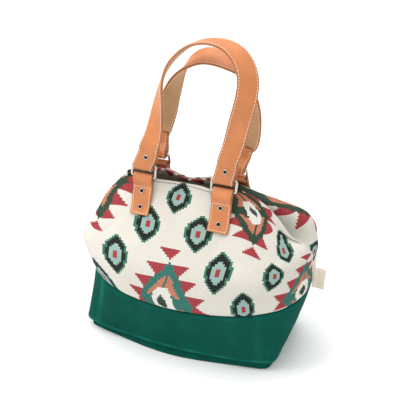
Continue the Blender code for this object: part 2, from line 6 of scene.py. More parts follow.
import bpy
import numpy as np
from mathutils import Matrix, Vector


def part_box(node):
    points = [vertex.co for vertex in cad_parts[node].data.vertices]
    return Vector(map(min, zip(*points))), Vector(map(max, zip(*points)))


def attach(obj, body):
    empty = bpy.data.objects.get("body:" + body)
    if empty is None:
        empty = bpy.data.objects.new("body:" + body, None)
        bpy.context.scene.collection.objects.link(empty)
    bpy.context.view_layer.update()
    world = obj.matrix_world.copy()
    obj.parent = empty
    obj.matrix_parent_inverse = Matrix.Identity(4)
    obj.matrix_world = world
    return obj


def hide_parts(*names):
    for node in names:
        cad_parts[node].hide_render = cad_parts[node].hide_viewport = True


bl_info = {
    "name": "Two-handle tote",
    "version": (1, 0, 0),
    "blender": (4, 5, 0),
    "location": "View3D > Sidebar > Tote",
    "description": "Dresses a soft jacquard and canvas tote with leather handles",
    "category": "Object",
}

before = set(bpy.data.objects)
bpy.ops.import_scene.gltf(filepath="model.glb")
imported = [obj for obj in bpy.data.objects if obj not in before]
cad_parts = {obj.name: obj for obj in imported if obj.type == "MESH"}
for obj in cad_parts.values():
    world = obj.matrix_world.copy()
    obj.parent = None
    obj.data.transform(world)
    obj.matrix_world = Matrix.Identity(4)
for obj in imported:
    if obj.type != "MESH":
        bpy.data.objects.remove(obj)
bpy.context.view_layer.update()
MM = 0.001

# Body, as it stands in the solids
BODY_WIDTH = 294 * MM
BODY_DEPTH = 158 * MM
BODY_HEIGHT = 224 * MM
CLOTH_WALL = 2.0 * MM
FLOOR_LEVEL, SEAM_LEVEL, MOUTH_LEVEL = 0, 3, 9
SEAM_GAP = 0.35 * MM
VALLEY_SPREAD = 0.34
VALLEY_PULL = 0.45
HEM_WALL = 1.2 * MM
HEM_GAP = 0.4 * MM
HEM_TURNS = 0.098
HEM_LEVELS = 1.0

# Leather tabs
TAB_WIDTH = 25 * MM
TAB_LENGTH = 45.5 * MM
TAB_WALL = 1.8 * MM
TAB_GAP = 0.9 * MM
TAB_BACK_LENGTH = 17 * MM
TAB_FLAT_LENGTH = 6 * MM
TAB_BLEND_LENGTH = 14 * MM
TAB_LEFT_X = -48 * MM
TAB_RIGHT_X = 53 * MM
BACK_TAB_SHIFT = 3 * MM
BAR_ABOVE_MOUTH = 2.5 * MM

# Rings
RING_WIRE = 3.2 * MM
RING_INSIDE_WIDTH = 27 * MM
RING_INSIDE_HEIGHT = 11 * MM
RING_CORNER = 2.5 * MM
RING_LEAN_FRONT = radians(-14)
RING_LEAN_BACK = radians(8)
BAR_CLEARANCE = 0.4 * MM

# Where the two smooth sides of a strap's outline lie
GRAIN_SIDE, FLESH_SIDE = slice(6, 14), slice(20, 28)

# Stitches of the handles, the tabs and the mouth: pitch (the handles' is a setting), length and thickness
HANDLE_STITCH = (2.9 * MM, 0.75 * MM)
TAB_STITCH = (3.1 * MM, 2.3 * MM, 0.7 * MM)
MOUTH_STITCH = (3.6 * MM, 2.6 * MM, 0.8 * MM)
MOUTH_STITCH_TURNS = 0.115
MOUTH_STITCH_LEVEL = 8.86
# One stitch's shape: shares of its length and of its thickness, end to end
STITCH_SHAPE = np.array([(-0.5, 0.45), (-0.32, 0.95), (0.32, 0.95), (0.5, 0.45)])
STITCH_SIDES = 6

# Handles
STRAP_WIDTH = 25 * MM
STRAP_WALL = 3.0 * MM
FOOT_STRAIGHT = 25 * MM
FOOT_LEAN = radians(6.5)
LOOP_SLACK = 1.5 * MM
FOLD_BACK_LENGTH = 27 * MM
FOLD_GAP = 0.35 * MM
CAD_STATIONS = 34
HANDLE_STATIONS = 300
TAB_STATIONS = 130
# How far the left and right feet lean aside, front (False) and back (True), and at what height over the ring
FOOT_SWAY = {False: (5.5 * MM, 2.2 * MM), True: (-3.0 * MM, 3.5 * MM)}
SWAY_HEIGHT = 25 * MM

# Rivets
RIVET_RADIUS = 3.1 * MM
RIVET_HEIGHT = 1.3 * MM
RIVET_SEAT = 0.35 * MM
RIVET_HOLE_SHARE = 0.72
TAB_RIVET_UPPER = 15.5 * MM
TAB_RIVET_LOWER = TAB_LENGTH - 10 * MM
HANDLE_RIVET_UP = 13 * MM

# Side label
LABEL_WIDTH = 15 * MM
LABEL_RISE = 0.56
LABEL_SLANT = 0.012
LABEL_BOW = 1.4 * MM
LABEL_WALL = 0.8 * MM
LABEL_LEVEL = 3.58
LABEL_GAP = 0.4 * MM

# Stage: the floor's half width and height, and the camera fitted to the photo, its focus in widths of the picture
FLOOR_REACH = 6.0
FLOOR_Z = -0.0004
CAMERA_TARGET = (15.3 * MM, 0, 192.1 * MM)
CAMERA_FOCUS = 803.3 / 400
SENSOR_WIDTH = 36

# Sections of the body from the floor to the mouth, as shares of its width, depth and height
Section = namedtuple("Section", "mid end_left end_right left right front back corner valley droop")
SECTIONS = [
    Section(*row)
    for row in (
        (0, 0, 0, 0.88, 0.862, 0.765, 0.715, 12, 0, 2.4),
        (0.06, 0.068, 0.07, 0.88, 0.905, 0.8, 0.76, 8, 0, 2.4),
        (0.19, 0.235, 0.25, 0.848, 1, 0.88, 0.84, 4.6, 0, 2),
        (0.335, 0.418, 0.455, 0.82, 1.07, 0.955, 0.91, 3.2, 0, 1.7),
        (0.465, 0.505, 0.54, 0.868, 1.085, 1.03, 0.98, 2.9, 0, 2.1),
        (0.595, 0.585, 0.62, 0.93, 1.095, 1, 0.97, 2.8, 0.02, 2.4),
        (0.715, 0.67, 0.71, 0.875, 1.11, 0.77, 0.82, 2.8, 0.05, 2.5),
        (0.825, 0.77, 0.795, 0.8, 1.08, 0.51, 0.59, 2.9, 0.1, 2.8),
        (0.915, 0.875, 0.85, 0.705, 0.91, 0.33, 0.36, 3.2, 0.11, 3.2),
        (0.99, 0.945, 0.895, 0.58, 0.525, 0.24, 0.19, 3.2, 0.02, 3.8),
    )
]

# Dents and folds that the solids have
Fold = namedtuple("Fold", "turn level turn_spread level_spread push_mm")
FOLDS = [
    Fold(*row)
    for row in (
        (0, 9, 0.046, 1.1, -10), (0.5, 9, 0.046, 1.1, -8.5), (0, 0.7, 0.095, 0.9, 7), (0, 0, 0.1, 0.6, 11),
        (0.5, 0.6, 0.075, 1.1, 6), (0.104, 4.2, 0.03, 0.5, -6), (0.128, 5.6, 0.02, 0.5, 3.5),
        (0.156, 7.5, 0.04, 0.95, -15), (0.208, 8, 0.026, 0.8, -5), (0.29, 9, 0.04, 0.6, -6),
        (0.33, 7.6, 0.035, 0.8, 6), (0.06, 7, 0.016, 0.8, -2.5), (0.935, 7, 0.016, 0.8, -2.5),
        (0.9, 5.2, 0.018, 0.6, -3), (0.884, 1.5, 0.01, 1.1, -2.2), (0.112, 1.5, 0.012, 1.1, -1.8),
        (0.39, 5.8, 0.022, 0.6, -4.5), (0.45, 4.4, 0.03, 0.6, -3), (0.58, 6.2, 0.022, 0.7, -3.5),
        (0.64, 5, 0.022, 0.7, -4),
    )
]

# Soft creases of the cloth, finer than the solids carry: place, half length and half width in mm along the skin,
# the crease's angle from level and its push outward in mm.
Crease = namedtuple("Crease", "turn level long_mm wide_mm angle push_mm")
CREASES = [
    Crease(*row)
    for row in (
        (0.01, 7.6, 26, 5, 60, -0.8), (0.055, 6.6, 30, 6, 75, -1), (0.08, 5.2, 34, 6, 35, 0.9),
        (0.118, 5, 24, 5, -40, -1.3), (0.15, 5.6, 28, 5, -20, 1.2), (0.135, 6.6, 22, 5, 65, -1.2),
        (0.965, 6.4, 30, 6, 80, -0.8), (0.93, 5.4, 34, 7, 30, 0.9), (0.9, 6.4, 22, 5, 60, -1.1),
        (0.87, 5, 26, 6, 15, -1.2), (0.85, 7, 20, 5, 70, 1), (0.02, 4.2, 50, 7, 3, 0.8), (0.3, 6.8, 26, 6, 40, -1.4),
        (0.36, 6, 30, 6, 60, -1.3), (0.42, 7, 30, 5, 70, -1), (0.5, 6.2, 34, 7, 85, -1.2),
        (0.56, 5.2, 30, 6, 50, 1.1), (0.62, 6.8, 26, 6, 65, -1.2), (0.7, 5.6, 28, 6, 20, -1.2),
        (0.04, 1.6, 50, 5, 8, -0.5), (0.94, 2, 44, 5, -8, -0.5), (0.14, 1.8, 24, 4, 60, -0.8),
        (0.35, 1.7, 40, 5, 12, -0.8), (0.64, 1.8, 40, 5, -12, -0.8),
    )
]

# The handles' middle lines in mm, with the turn and the bank of the strap's width in degrees
Station = namedtuple("Station", "x y z turn bank")
FRONT_LINE = [
    Station(*row)
    for row in (
        (-38, -12, 285, -20, 0), (-33, -4, 314, -45, 0), (-30, 2, 337, -66, 4), (-24, 7, 355, -80, 8),
        (-13, 10, 370, -88, 9), (3, 12, 383, -92, 9), (22, 14, 389, -96, 6), (43, 13, 388, -104, 0),
        (60, 10, 379, -118, -8), (71, 5, 363, -136, -8), (74, 0, 347, -150, -4), (72, -5, 328, -158, 0),
        (67, -9, 306, -166, 0), (62, -13, 284, -172, 0),
    )
]
BACK_LINE = [
    Station(*row)
    for row in (
        (-38, 21, 270, 190, 0), (-33, 24, 291, 205, 0), (-29, 26, 311, 222, -6), (-21, 29, 334, 240, -16),
        (-9, 32, 352, 256, -26), (8, 33, 363, 268, -30), (28, 32, 364, 280, -28), (46, 30, 357, 296, -20),
        (59, 28, 344, 312, -10), (67, 26, 329, 325, -4), (71, 24, 312, 336, 0), (71, 22, 293, 346, 0),
        (67, 20, 272, 354, 0),
    )
]

# Creases up the base's corners that are rubbed paler: turn, width in turns and how much
WORN_CREASES = ((0.884, 0.0035, 0.45), (0.112, 0.004, 0.1), (0.388, 0.004, 0.3), (0.612, 0.004, 0.3))

# The jacquard's yarns
YARNS = {
    ".": "#E8E3D8", "R": "#AE2A36", "K": "#151C1B", "G": "#2A7A60", "M": "#9CC0B2", "B": "#9DBAC0",
    "T": "#17756A", "D": "#123F28", "S": "#D07F60", "W": "#F0ECE2", "N": "#153F4C",
}
YARN_LETTERS = "".join(YARNS)
# How much each yarn shows flecks: dark ones painted as the weave's shade where yarns dip, cream ones of the ground
# yarn; the pale ones and black show few.
FLECKS = {".": 0.26, "W": 0.26, "K": 0.35}
FLECKS_ELSE = 0.9

# A quarter of the small diamond: rows go up from its middle, columns out from its middle.
DIAMOND = ["RMMKKG", "RMMKKG", "BMBKGG", "MMKKG.", "MKKKG.", "KKKG..", "KKG...", "KG....", "G....."]
REPEAT_ACROSS = 72
REPEAT_DOWN = 96
MEDALLION_ROWS = 17
ARM_SLOPE = 0.833
POINT_ROWS = 5
NET_STEP_ACROSS, NET_STEP_DOWN = 12, 16


def linear(hex_colour):
    """An sRGB hex colour as linear light."""
    channels = [int(hex_colour[i : i + 2], 16) / 255 for i in (1, 3, 5)]
    return tuple(c / 12.92 if c <= 0.04045 else ((c + 0.055) / 1.055) ** 2.4 for c in channels)


class ToteBody(bpy.types.PropertyGroup):
    """Sizes and colours of the soft body."""

    cell_across: bpy.props.FloatProperty(
        name="Cell across", description="Width of one step of the pattern", default=2.62 * MM, unit="LENGTH"
    )
    cell_down: bpy.props.FloatProperty(
        name="Cell down", description="Height of one step of the pattern", default=2.75 * MM, unit="LENGTH"
    )
    canvas_colour: bpy.props.FloatVectorProperty(
        name="Canvas", description="Colour of the base", default=linear("#0A5044"), subtype="COLOR"
    )
    lining_colour: bpy.props.FloatVectorProperty(
        name="Lining", description="Colour of the cotton inside", default=linear("#EAE4D8"), subtype="COLOR"
    )
    label_colour: bpy.props.FloatVectorProperty(
        name="Label", description="Colour of the side tag", default=linear("#F1E6D2"), subtype="COLOR"
    )


class ToteTrim(bpy.types.PropertyGroup):
    """Sizes and colours of the leather, thread and metal."""

    leather_colour: bpy.props.FloatVectorProperty(
        name="Leather", description="Colour of the grain side", default=linear("#CA7E4C"), subtype="COLOR"
    )
    flesh_colour: bpy.props.FloatVectorProperty(
        name="Flesh side", description="Colour of the leather's raw side", default=linear("#BF9871"), subtype="COLOR"
    )
    thread_colour: bpy.props.FloatVectorProperty(
        name="Thread", description="Colour of the stitching", default=linear("#F3E3CB"), subtype="COLOR"
    )
    stitch_pitch: bpy.props.FloatProperty(
        name="Stitch pitch", description="Distance from one stitch to the next", default=3.9 * MM, unit="LENGTH"
    )
    stitch_inset: bpy.props.FloatProperty(
        name="Stitch inset", description="Distance from the edge to the stitching", default=2.0 * MM, unit="LENGTH"
    )
    nickel_roughness: bpy.props.FloatProperty(
        name="Nickel roughness", description="How matt the plating is", default=0.2, min=0, max=1, subtype="FACTOR"
    )


class ToteStage(bpy.types.PropertyGroup):
    """Floor, light and camera."""

    floor_colour: bpy.props.FloatVectorProperty(
        name="Floor", description="Colour of the floor", default=linear("#FFFFFF"), subtype="COLOR"
    )
    key_power: bpy.props.FloatProperty(
        name="Key light", description="Power of the large light", default=12.5, unit="POWER"
    )
    sky_strength: bpy.props.FloatProperty(
        name="Sky", description="Strength of the light all round", default=0.86, min=0
    )
    camera_yaw: bpy.props.FloatProperty(
        name="Camera yaw", description="How far right of the front it stands", default=radians(22.1), subtype="ANGLE"
    )
    camera_rise: bpy.props.FloatProperty(
        name="Camera rise", description="How far it looks down", default=radians(31.6), subtype="ANGLE"
    )
    camera_roll: bpy.props.FloatProperty(
        name="Camera roll", description="How far it leans", default=radians(-1.2), subtype="ANGLE"
    )
    camera_distance: bpy.props.FloatProperty(
        name="Camera distance", description="From the point that it looks at", default=0.9719, unit="LENGTH"
    )


# ---------------------------------------------------------------- surfaces


def smooth_rows(table, at):
    """The columns of a table at fractional rows, along a cubic through its rows."""
    rows = np.array(table, float)
    last = len(rows) - 1
    at = np.clip(np.asarray(at, float), 0, last)
    low = np.minimum(at.astype(int), last - 1)
    t = (at - low)[..., None]
    before, start, stop = rows[np.maximum(low - 1, 0)], rows[low], rows[low + 1]
    after = rows[np.minimum(low + 2, last)]
    in_slope = np.where((low > 0)[..., None], (stop - before) / 2, stop - start)
    out_slope = np.where((low + 1 < last)[..., None], (after - start) / 2, stop - start)
    h00, h10 = 2 * t**3 - 3 * t**2 + 1, t**3 - 2 * t**2 + t
    h01, h11 = 3 * t**2 - 2 * t**3, t**3 - t**2
    return h00 * start + h10 * in_slope + h01 * stop + h11 * out_slope


def unit(vectors):
    """Vectors of length one."""
    return vectors / np.maximum(np.linalg.norm(vectors, axis=-1, keepdims=True), 1e-12)


def body(turn, level):
    """The body's outer surface without folds: turn 0 is the middle of the front, 0.25 the right end."""
    turn, level = np.broadcast_arrays(np.asarray(turn, float), np.asarray(level, float))
    row = Section(*np.moveaxis(smooth_rows(SECTIONS, level), -1, 0))
    across, along = np.sin(2 * pi * turn), -np.cos(2 * pi * turn)
    reach = (np.abs(across) ** row.corner + np.abs(along) ** row.corner) ** (-1 / row.corner)
    wide, deep = across * reach, along * reach
    right = wide >= 0
    half = np.where(right, row.right, row.left) * BODY_WIDTH / 2
    depth = np.where(deep < 0, row.front, row.back) * BODY_DEPTH / 2
    end = np.where(right, row.end_right, row.end_left)
    height = (row.mid + (end - row.mid) * np.abs(wide) ** row.droop) * BODY_HEIGHT
    centre = np.exp(-(((deep - 0.05) / VALLEY_SPREAD) ** 2)) * np.maximum(np.abs(wide) - 0.2, 0) / 0.8
    drop = row.valley * BODY_HEIGHT * centre
    pull = drop * VALLEY_PULL * np.where(right, 1, -1)
    return np.stack([half * wide - pull, depth * deep, height - drop], -1)


def outward(surface, turn, level):
    """The outward direction of a surface given by turn and level."""
    step, rise = 0.004, 0.04
    low = np.maximum(level - rise, FLOOR_LEVEL + 0.001)
    high = np.minimum(level + rise, MOUTH_LEVEL)
    round_it = surface(turn + step, level) - surface(turn - step, level)
    up_it = surface(turn, high) - surface(turn, low)
    return unit(np.cross(round_it, up_it))


def folded(turn, level):
    """The outer surface with the dents and folds that the solids have."""
    turn, level = np.broadcast_arrays(np.asarray(turn, float), np.asarray(level, float))
    push = np.zeros(turn.shape)
    for fold in FOLDS:
        away = (turn - fold.turn + 0.5) % 1.0 - 0.5
        size = (away / fold.turn_spread) ** 2 + ((level - fold.level) / fold.level_spread) ** 2
        push += fold.push_mm * MM * np.exp(-size)
    out = outward(body, turn, level)
    out[..., 2] *= np.minimum(level, 1)
    return body(turn, level) + push[..., None] * out


def crease_push(turn, level):
    """How far the cloth's own soft creases push a place outward, in metres."""
    push = np.zeros(np.shape(turn))
    for crease in CREASES:
        here, aside, above = (
            folded(crease.turn + t, crease.level + up) for t, up in ((0, 0), (0.01, 0), (0, 0.1))
        )
        round_mm = float(np.linalg.norm(aside - here)) / MM / 0.01
        up_mm = float(np.linalg.norm(above - here)) / MM / 0.1
        right = ((turn - crease.turn + 0.5) % 1.0 - 0.5) * round_mm
        up = (level - crease.level) * up_mm
        angle = radians(crease.angle)
        along, across = right * cos(angle) + up * sin(angle), up * cos(angle) - right * sin(angle)
        push += crease.push_mm * MM * np.exp(-((along / crease.long_mm) ** 2) - (across / crease.wide_mm) ** 2)
    return push


def ripple(turn, level, size):
    """Slow unevenness of hand-sewn cloth, the same each time."""
    waves = ((7, 1.3, 0.4), (11, 2.1, 1.7), (17, 3.2, 2.9), (5, 4.4, 0.9), (23, 1.9, 4.1))
    total = sum(np.sin(2 * pi * turn * n + level * m + phase) for n, m, phase in waves)
    return size * total / len(waves)


def hump(at, middle, spread):
    """A smooth rise from nought to one and back, round a middle."""
    return np.exp(-(((at - middle) / spread) ** 2))


def ease(share):
    """A smooth step from nought to one."""
    share = np.clip(share, 0, 1)
    return share * share * (3 - 2 * share)


def lengths_along(points):
    """How far along a line of points each one lies."""
    return np.concatenate([[0], np.cumsum(np.linalg.norm(np.diff(points, axis=0), axis=1))])


def place(points):
    """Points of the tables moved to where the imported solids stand."""
    return points + PLAN_SHIFT


def find_plan_shift():
    """The move in plan from the tables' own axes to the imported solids."""
    turns, levels = np.meshgrid(np.linspace(0, 1, 721), np.linspace(FLOOR_LEVEL, SEAM_LEVEL, 41))
    points = folded(turns, levels).reshape(-1, 3)
    low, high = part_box("base")
    middle = (np.array(low) + np.array(high)) / 2
    own = (points.min(0) + points.max(0)) / 2
    return np.array([middle[0] - own[0], middle[1] - own[1], 0])


PLAN_SHIFT = find_plan_shift()


# ---------------------------------------------------------------- mesh helpers


def grid_faces(rows, columns, wrap=False, start=0, flip=False):
    """Quads of a grid of vertices stored row by row."""
    r = np.arange(rows - 1)[:, None] * columns
    c = np.arange(columns if wrap else columns - 1)[None, :]
    d = (c + 1) % columns
    quads = np.stack([r + c, r + d, r + columns + d, r + columns + c], -1).reshape(-1, 4) + start
    return (quads[:, ::-1] if flip else quads).tolist()


def add_mesh(name, points, faces, materials, slots=None):
    """A smooth named mesh object that rides on the bag."""
    mesh = bpy.data.meshes.new(name)
    mesh.from_pydata(np.asarray(points, float).reshape(-1, 3).tolist(), [], faces)
    for surface in materials:
        mesh.materials.append(surface)
    if slots is not None:
        mesh.polygons.foreach_set("material_index", np.asarray(slots, np.int32))
    mesh.polygons.foreach_set("use_smooth", np.ones(len(mesh.polygons), bool))
    mesh.validate()
    mesh.update()
    made = bpy.data.objects.new(name, mesh)
    bpy.context.scene.collection.objects.link(made)
    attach(made, "root")
    return made


def add_modifier(made, name, kind, **settings):
    """A modifier with its settings."""
    added = made.modifiers.new(name, kind)
    for key, value in settings.items():
        setattr(added, key, value)
    return added


def line_through(points, count):
    """Even stations along a smooth line through rows of numbers."""
    rows = np.array(points, float)
    fine = smooth_rows(rows, np.linspace(0, len(rows) - 1, 400 if count < 100 else 4000))
    run = lengths_along(fine[:, :3])
    even = np.linspace(0, run[-1], count)
    return np.stack([np.interp(even, run, fine[:, c]) for c in range(fine.shape[1])], axis=1)


# ---------------------------------------------------------------- materials


def add_node(tree, kind, inputs=None, **settings):
    """A shader node with its settings, its constants and its links."""
    node = tree.nodes.new(kind)
    for key, value in settings.items():
        setattr(node, key, value)
    for key, value in (inputs or {}).items():
        socket = node.inputs[key]
        if isinstance(value, bpy.types.NodeSocket):
            tree.links.new(value, socket)
        else:
            socket.default_value = value
    return node


def new_material(name, **constants):
    """A material with one Principled shader and constants on its sockets."""
    made = bpy.data.materials.new(name)
    made.use_nodes = True
    shader = made.node_tree.nodes["Principled BSDF"]
    for key, value in constants.items():
        shader.inputs[key.replace("_", " ")].default_value = value
    return made, made.node_tree, shader


def ramp(tree, factor, stops):
    """A colour ramp through grey values."""
    node = add_node(tree, "ShaderNodeValToRGB", {"Fac": factor})
    elements = node.color_ramp.elements
    for element, (position, value) in zip(elements, stops):
        element.position = position
        element.color = (value, value, value, 1)
    return node.outputs["Color"]


def calc(tree, operation, *values):
    """What a Math node makes of its values."""
    return add_node(tree, "ShaderNodeMath", dict(enumerate(values)), operation=operation).outputs[0]


def mix(tree, factor, first, second, blend="MULTIPLY"):
    """What a colour Mix node makes of two colours."""
    inputs = {"Factor": factor, 6: first, 7: second}
    return add_node(tree, "ShaderNodeMix", inputs, data_type="RGBA", blend_type=blend).outputs[2]


def noise(tree, at, scale, detail, roughness=0.5):
    """The value of a Noise texture."""
    inputs = {"Vector": at, "Scale": scale, "Detail": detail, "Roughness": roughness}
    return add_node(tree, "ShaderNodeTexNoise", inputs).outputs["Fac"]


def object_space(tree):
    """The place on the object, in metres."""
    return add_node(tree, "ShaderNodeTexCoord").outputs["Object"]


def colour_it(tree, shader, colour):
    """Joins a colour to the shader."""
    tree.links.new(colour, shader.inputs["Base Color"])


def bump_it(tree, shader, height, strength, depth_mm):
    """Joins a height to the shader as a bump."""
    inputs = {"Height": height, "Strength": strength, "Distance": depth_mm * MM}
    tree.links.new(add_node(tree, "ShaderNodeBump", inputs).outputs["Normal"], shader.inputs["Normal"])


def jacquard_material(name):
    """Cotton jacquard, woven in coloured yarns on cream: matt, with a rib each 1.4 mm and flecks where yarns cross:
    dark ones are painted shade in the weave's dips, cream ones are the ground yarn coming up.
    """
    made, tree, shader = new_material(name, Roughness=0.9, Specular_IOR_Level=0.15)
    yarn = add_node(tree, "ShaderNodeAttribute", attribute_name="yarn").outputs
    cells = add_node(tree, "ShaderNodeUVMap", uv_map="cells").outputs["UV"]
    axes = add_node(tree, "ShaderNodeSeparateXYZ", {0: cells}).outputs
    # two weft ribs to a step of the pattern, each leaning like twill, and three warps
    leaning = calc(tree, "ADD", axes["Y"], calc(tree, "MULTIPLY", axes["X"], 0.35))
    weft = calc(tree, "SINE", calc(tree, "MULTIPLY", leaning, 2 * 2 * pi))
    warp = calc(tree, "SINE", calc(tree, "MULTIPLY", axes["X"], 3 * 2 * pi))
    crossing = calc(tree, "MULTIPLY", weft, warp)
    half = calc(tree, "MULTIPLY_ADD", crossing, 0.5, 0.5)
    slub = noise(tree, cells, 1.7, 3.0, 0.6)
    shade = yarn["Color"]
    # dark flecks painted as the shade where yarns dip, cream ones where the ground yarn comes up
    for stops, share, fleck in (
        (((0.58, 0.0), (0.88, 1.0)), 0.45, (0.03, 0.035, 0.03)),
        (((0.12, 1.0), (0.4, 0.0)), 0.22, linear(YARNS["."])),
    ):
        amount = calc(tree, "MULTIPLY", ramp(tree, half, stops), yarn["Alpha"])
        shade = mix(tree, calc(tree, "MULTIPLY", amount, share), shade, (*fleck, 1), "MIX")
    colour_it(tree, shader, mix(tree, 1.0, shade, ramp(tree, slub, ((0.3, 0.86), (0.7, 1.04)))))
    bump_it(tree, shader, calc(tree, "ADD", calc(tree, "ADD", weft, slub), crossing), 0.6, 0.34)
    return made


def woven_material(name, colour, thread_mm, roughness, depth_mm, sheen):
    """Plain-woven cotton: two crossing waves at the thread's pitch, with uneven dye."""
    made, tree, shader = new_material(name, Roughness=roughness, Sheen_Weight=sheen, Specular_IOR_Level=0.05)
    at = object_space(tree)
    spun = noise(tree, at, 0.25 / (thread_mm * MM), 4.0, 0.6)
    cloudy = noise(tree, at, 28.0, 5.0, 0.62)
    axes = add_node(tree, "ShaderNodeSeparateXYZ", {0: at}).outputs
    waves = [
        calc(tree, "SINE", calc(tree, "MULTIPLY", source, 2 * pi / (thread_mm * MM)))
        for source in (calc(tree, "ADD", axes["X"], axes["Y"]), axes["Z"])
    ]
    bump_it(tree, shader, calc(tree, "ADD", calc(tree, "MULTIPLY", *waves), spun), 0.5, depth_mm)
    fine = ramp(tree, spun, ((0.25, 0.9), (0.75, 1.06)))
    uneven = mix(tree, 1.0, ramp(tree, cloudy, ((0.3, 0.80), (0.72, 1.12))), fine)
    return made, tree, shader, mix(tree, 1.0, (*colour, 1), uneven)


def canvas_material(name, colour):
    """Waxed cotton canvas: deep teal with a bloom, rubbed paler along its corner creases, with a painted highlight
    along its lower edge and a paler band just below the seam.
    """
    made, tree, shader, dyed = woven_material(name, colour, 1.1, 0.8, 0.10, 0.0)
    worn = add_node(tree, "ShaderNodeAttribute", attribute_name="worn").outputs["Fac"]
    # mixes in a paler teal: rubbed wear up the corner creases and a painted highlight along the lit lower edge
    colour_it(tree, shader, mix(tree, worn, dyed, (*linear("#1F8473"), 1), "MIX"))
    return made


def cotton_material(name, colour):
    """Plain cotton cloth or tape: flat, chalky, with a fine even weave."""
    made, tree, shader, dyed = woven_material(name, colour, 0.9, 0.9, 0.06, 0.1)
    colour_it(tree, shader, dyed)
    return made


def leather_material(name, colour, roughness, grain_mm, depth_mm):
    """Vegetable-tanned cowhide: pores about a third of a millimetre, soft blotches of oil, a low waxed gloss."""
    made, tree, shader = new_material(name, Roughness=roughness, Specular_IOR_Level=0.4, Coat_Weight=0.04)
    at = object_space(tree)
    pores = add_node(tree, "ShaderNodeTexVoronoi", {"Vector": at, "Scale": 1 / (grain_mm * MM)}).outputs["Distance"]
    blotch, fibre = noise(tree, at, 34.0, 5.0, 0.55), noise(tree, at, 900.0, 3.0)
    speck = ramp(tree, fibre, ((0.3, 0.92), (0.7, 1.06)))
    uneven = mix(tree, 1.0, ramp(tree, blotch, ((0.3, 0.86), (0.7, 1.10))), speck)
    colour_it(tree, shader, mix(tree, 1.0, (*colour, 1), uneven))
    bump_it(tree, shader, calc(tree, "ADD", pores, fibre), 0.35, depth_mm)
    return made


def nickel_material(name, roughness):
    """Nickel plate on steel wire: bright, a little warm, with fine rubbing marks."""
    made, tree, shader = new_material(name, Metallic=1.0)
    shader.inputs["Base Color"].default_value = (*linear("#D6D2C8"), 1)
    rubbed = noise(tree, object_space(tree), 420.0, 4.0)
    inputs = {"Value": rubbed, "To Min": roughness * 0.7, "To Max": roughness * 1.5}
    spread = add_node(tree, "ShaderNodeMapRange", inputs)
    tree.links.new(spread.outputs["Result"], shader.inputs["Roughness"])
    return made


def thread_material(name, colour):
    """Waxed polyester thread: slightly glossy, twisted twice a millimetre."""
    made, tree, shader = new_material(name, Roughness=0.5, Sheen_Weight=0.1)
    twist = noise(tree, object_space(tree), 1800.0, 2.0)
    colour_it(tree, shader, mix(tree, 1.0, (*colour, 1), ramp(tree, twist, ((0.3, 0.82), (0.7, 1.05)))))
    return made


def finish(maker, name, *args):
    """A material made once and found again by name."""
    return bpy.data.materials.get(name) or maker(name, *args)


def jacquard():
    """The patterned cloth."""
    return finish(jacquard_material, "cotton_jacquard")


def lining(props):
    """The cotton that lines the bag."""
    return finish(cotton_material, "cotton_lining", tuple(props.lining_colour))


def leather(trim):
    """Grain side, flesh side and painted edge of the leather."""
    colour, flesh = tuple(trim.leather_colour), tuple(trim.flesh_colour)
    edge = tuple(c * 0.72 for c in colour)
    return [
        finish(leather_material, "cowhide_grain", colour, 0.46, 0.35, 0.05),
        finish(leather_material, "cowhide_flesh", flesh, 0.85, 0.6, 0.12),
        finish(leather_material, "cowhide_edge", edge, 0.4, 0.5, 0.05),
    ]


def nickel(trim):
    """The plating of rings and rivets."""
    return finish(nickel_material, "nickel_plate", trim.nickel_roughness)


# ---------------------------------------------------------------- the jacquard's pattern


def medallion(out, row, arm, core):
    """Yarn letters of a large stepped motif: cells out from its axis and rows from its nearer point."""
    colour = np.full(out.shape, ".")
    width = np.floor(ARM_SLOPE * row + 0.5)
    # red points that stand on the arms, each flat on the side away from the middle, and one beyond the arms' tip
    for top in (1, 7, 13):
        tip = np.floor(ARM_SLOPE * top + 0.5) + 8 - (row - top)
        colour[(row >= top) & (row < top + POINT_ROWS) & (out > width) & (out <= tip)] = "R"
    over = row + POINT_ROWS + 1
    colour[(over >= 0) & (over < POINT_ROWS) & (out <= POINT_ROWS - 1 - over)] = "R"
    inside = (row >= 0) & (out <= width)
    colour[inside] = arm
    start = np.select([row <= 10, row <= 12], [1, row - 8], 5 + (row - 13) * 2)
    colour[inside & (row >= 6) & (row <= 14) & (out >= start) & (out <= width - 4)] = "S"
    away = MEDALLION_ROWS - row
    colour[inside & (out <= np.select([away < 3, away < 5, away < 6], [5, 4, 3], np.where(away < 7, 2, -1)))] = "W"
    colour[inside & (out <= np.select([away < 2, away < 3, away < 4], [2, 1, 0], -1))] = core
    return colour


def pattern(across, down):
    """Yarn letters of the cloth at whole cells: a net of small stepped diamonds with a medallion in each mesh."""
    colour = np.full(across.shape, ".")
    chart = np.array([list(line) for line in DIAMOND])
    half_a, half_d = REPEAT_ACROSS // 2, REPEAT_DOWN // 2
    for shift_a, shift_d, arm, core in ((0, half_d, "T", "D"), (half_a, 0, "D", "N")):
        x = np.abs((across + shift_a + half_a) % REPEAT_ACROSS - half_a)
        y = np.abs((down + shift_d + half_d) % REPEAT_DOWN - half_d)
        drawn = medallion(x, MEDALLION_ROWS - y, arm, core)
        colour = np.where((y <= MEDALLION_ROWS + POINT_ROWS + 1) & (drawn != "."), drawn, colour)
    x = np.abs((across + 0.5 + half_a) % REPEAT_ACROSS - half_a)
    for k in range(7):
        y = np.abs((down - NET_STEP_DOWN * k + half_d) % REPEAT_DOWN - half_d)
        out = np.abs(x - NET_STEP_ACROSS * min(k, 6 - k)).astype(int)
        near = (out < chart.shape[1]) & (y < chart.shape[0])
        drawn = chart[np.minimum(y, chart.shape[0] - 1), np.minimum(out, chart.shape[1] - 1)]
        colour = np.where(near & (drawn != "."), drawn, colour)
    return colour


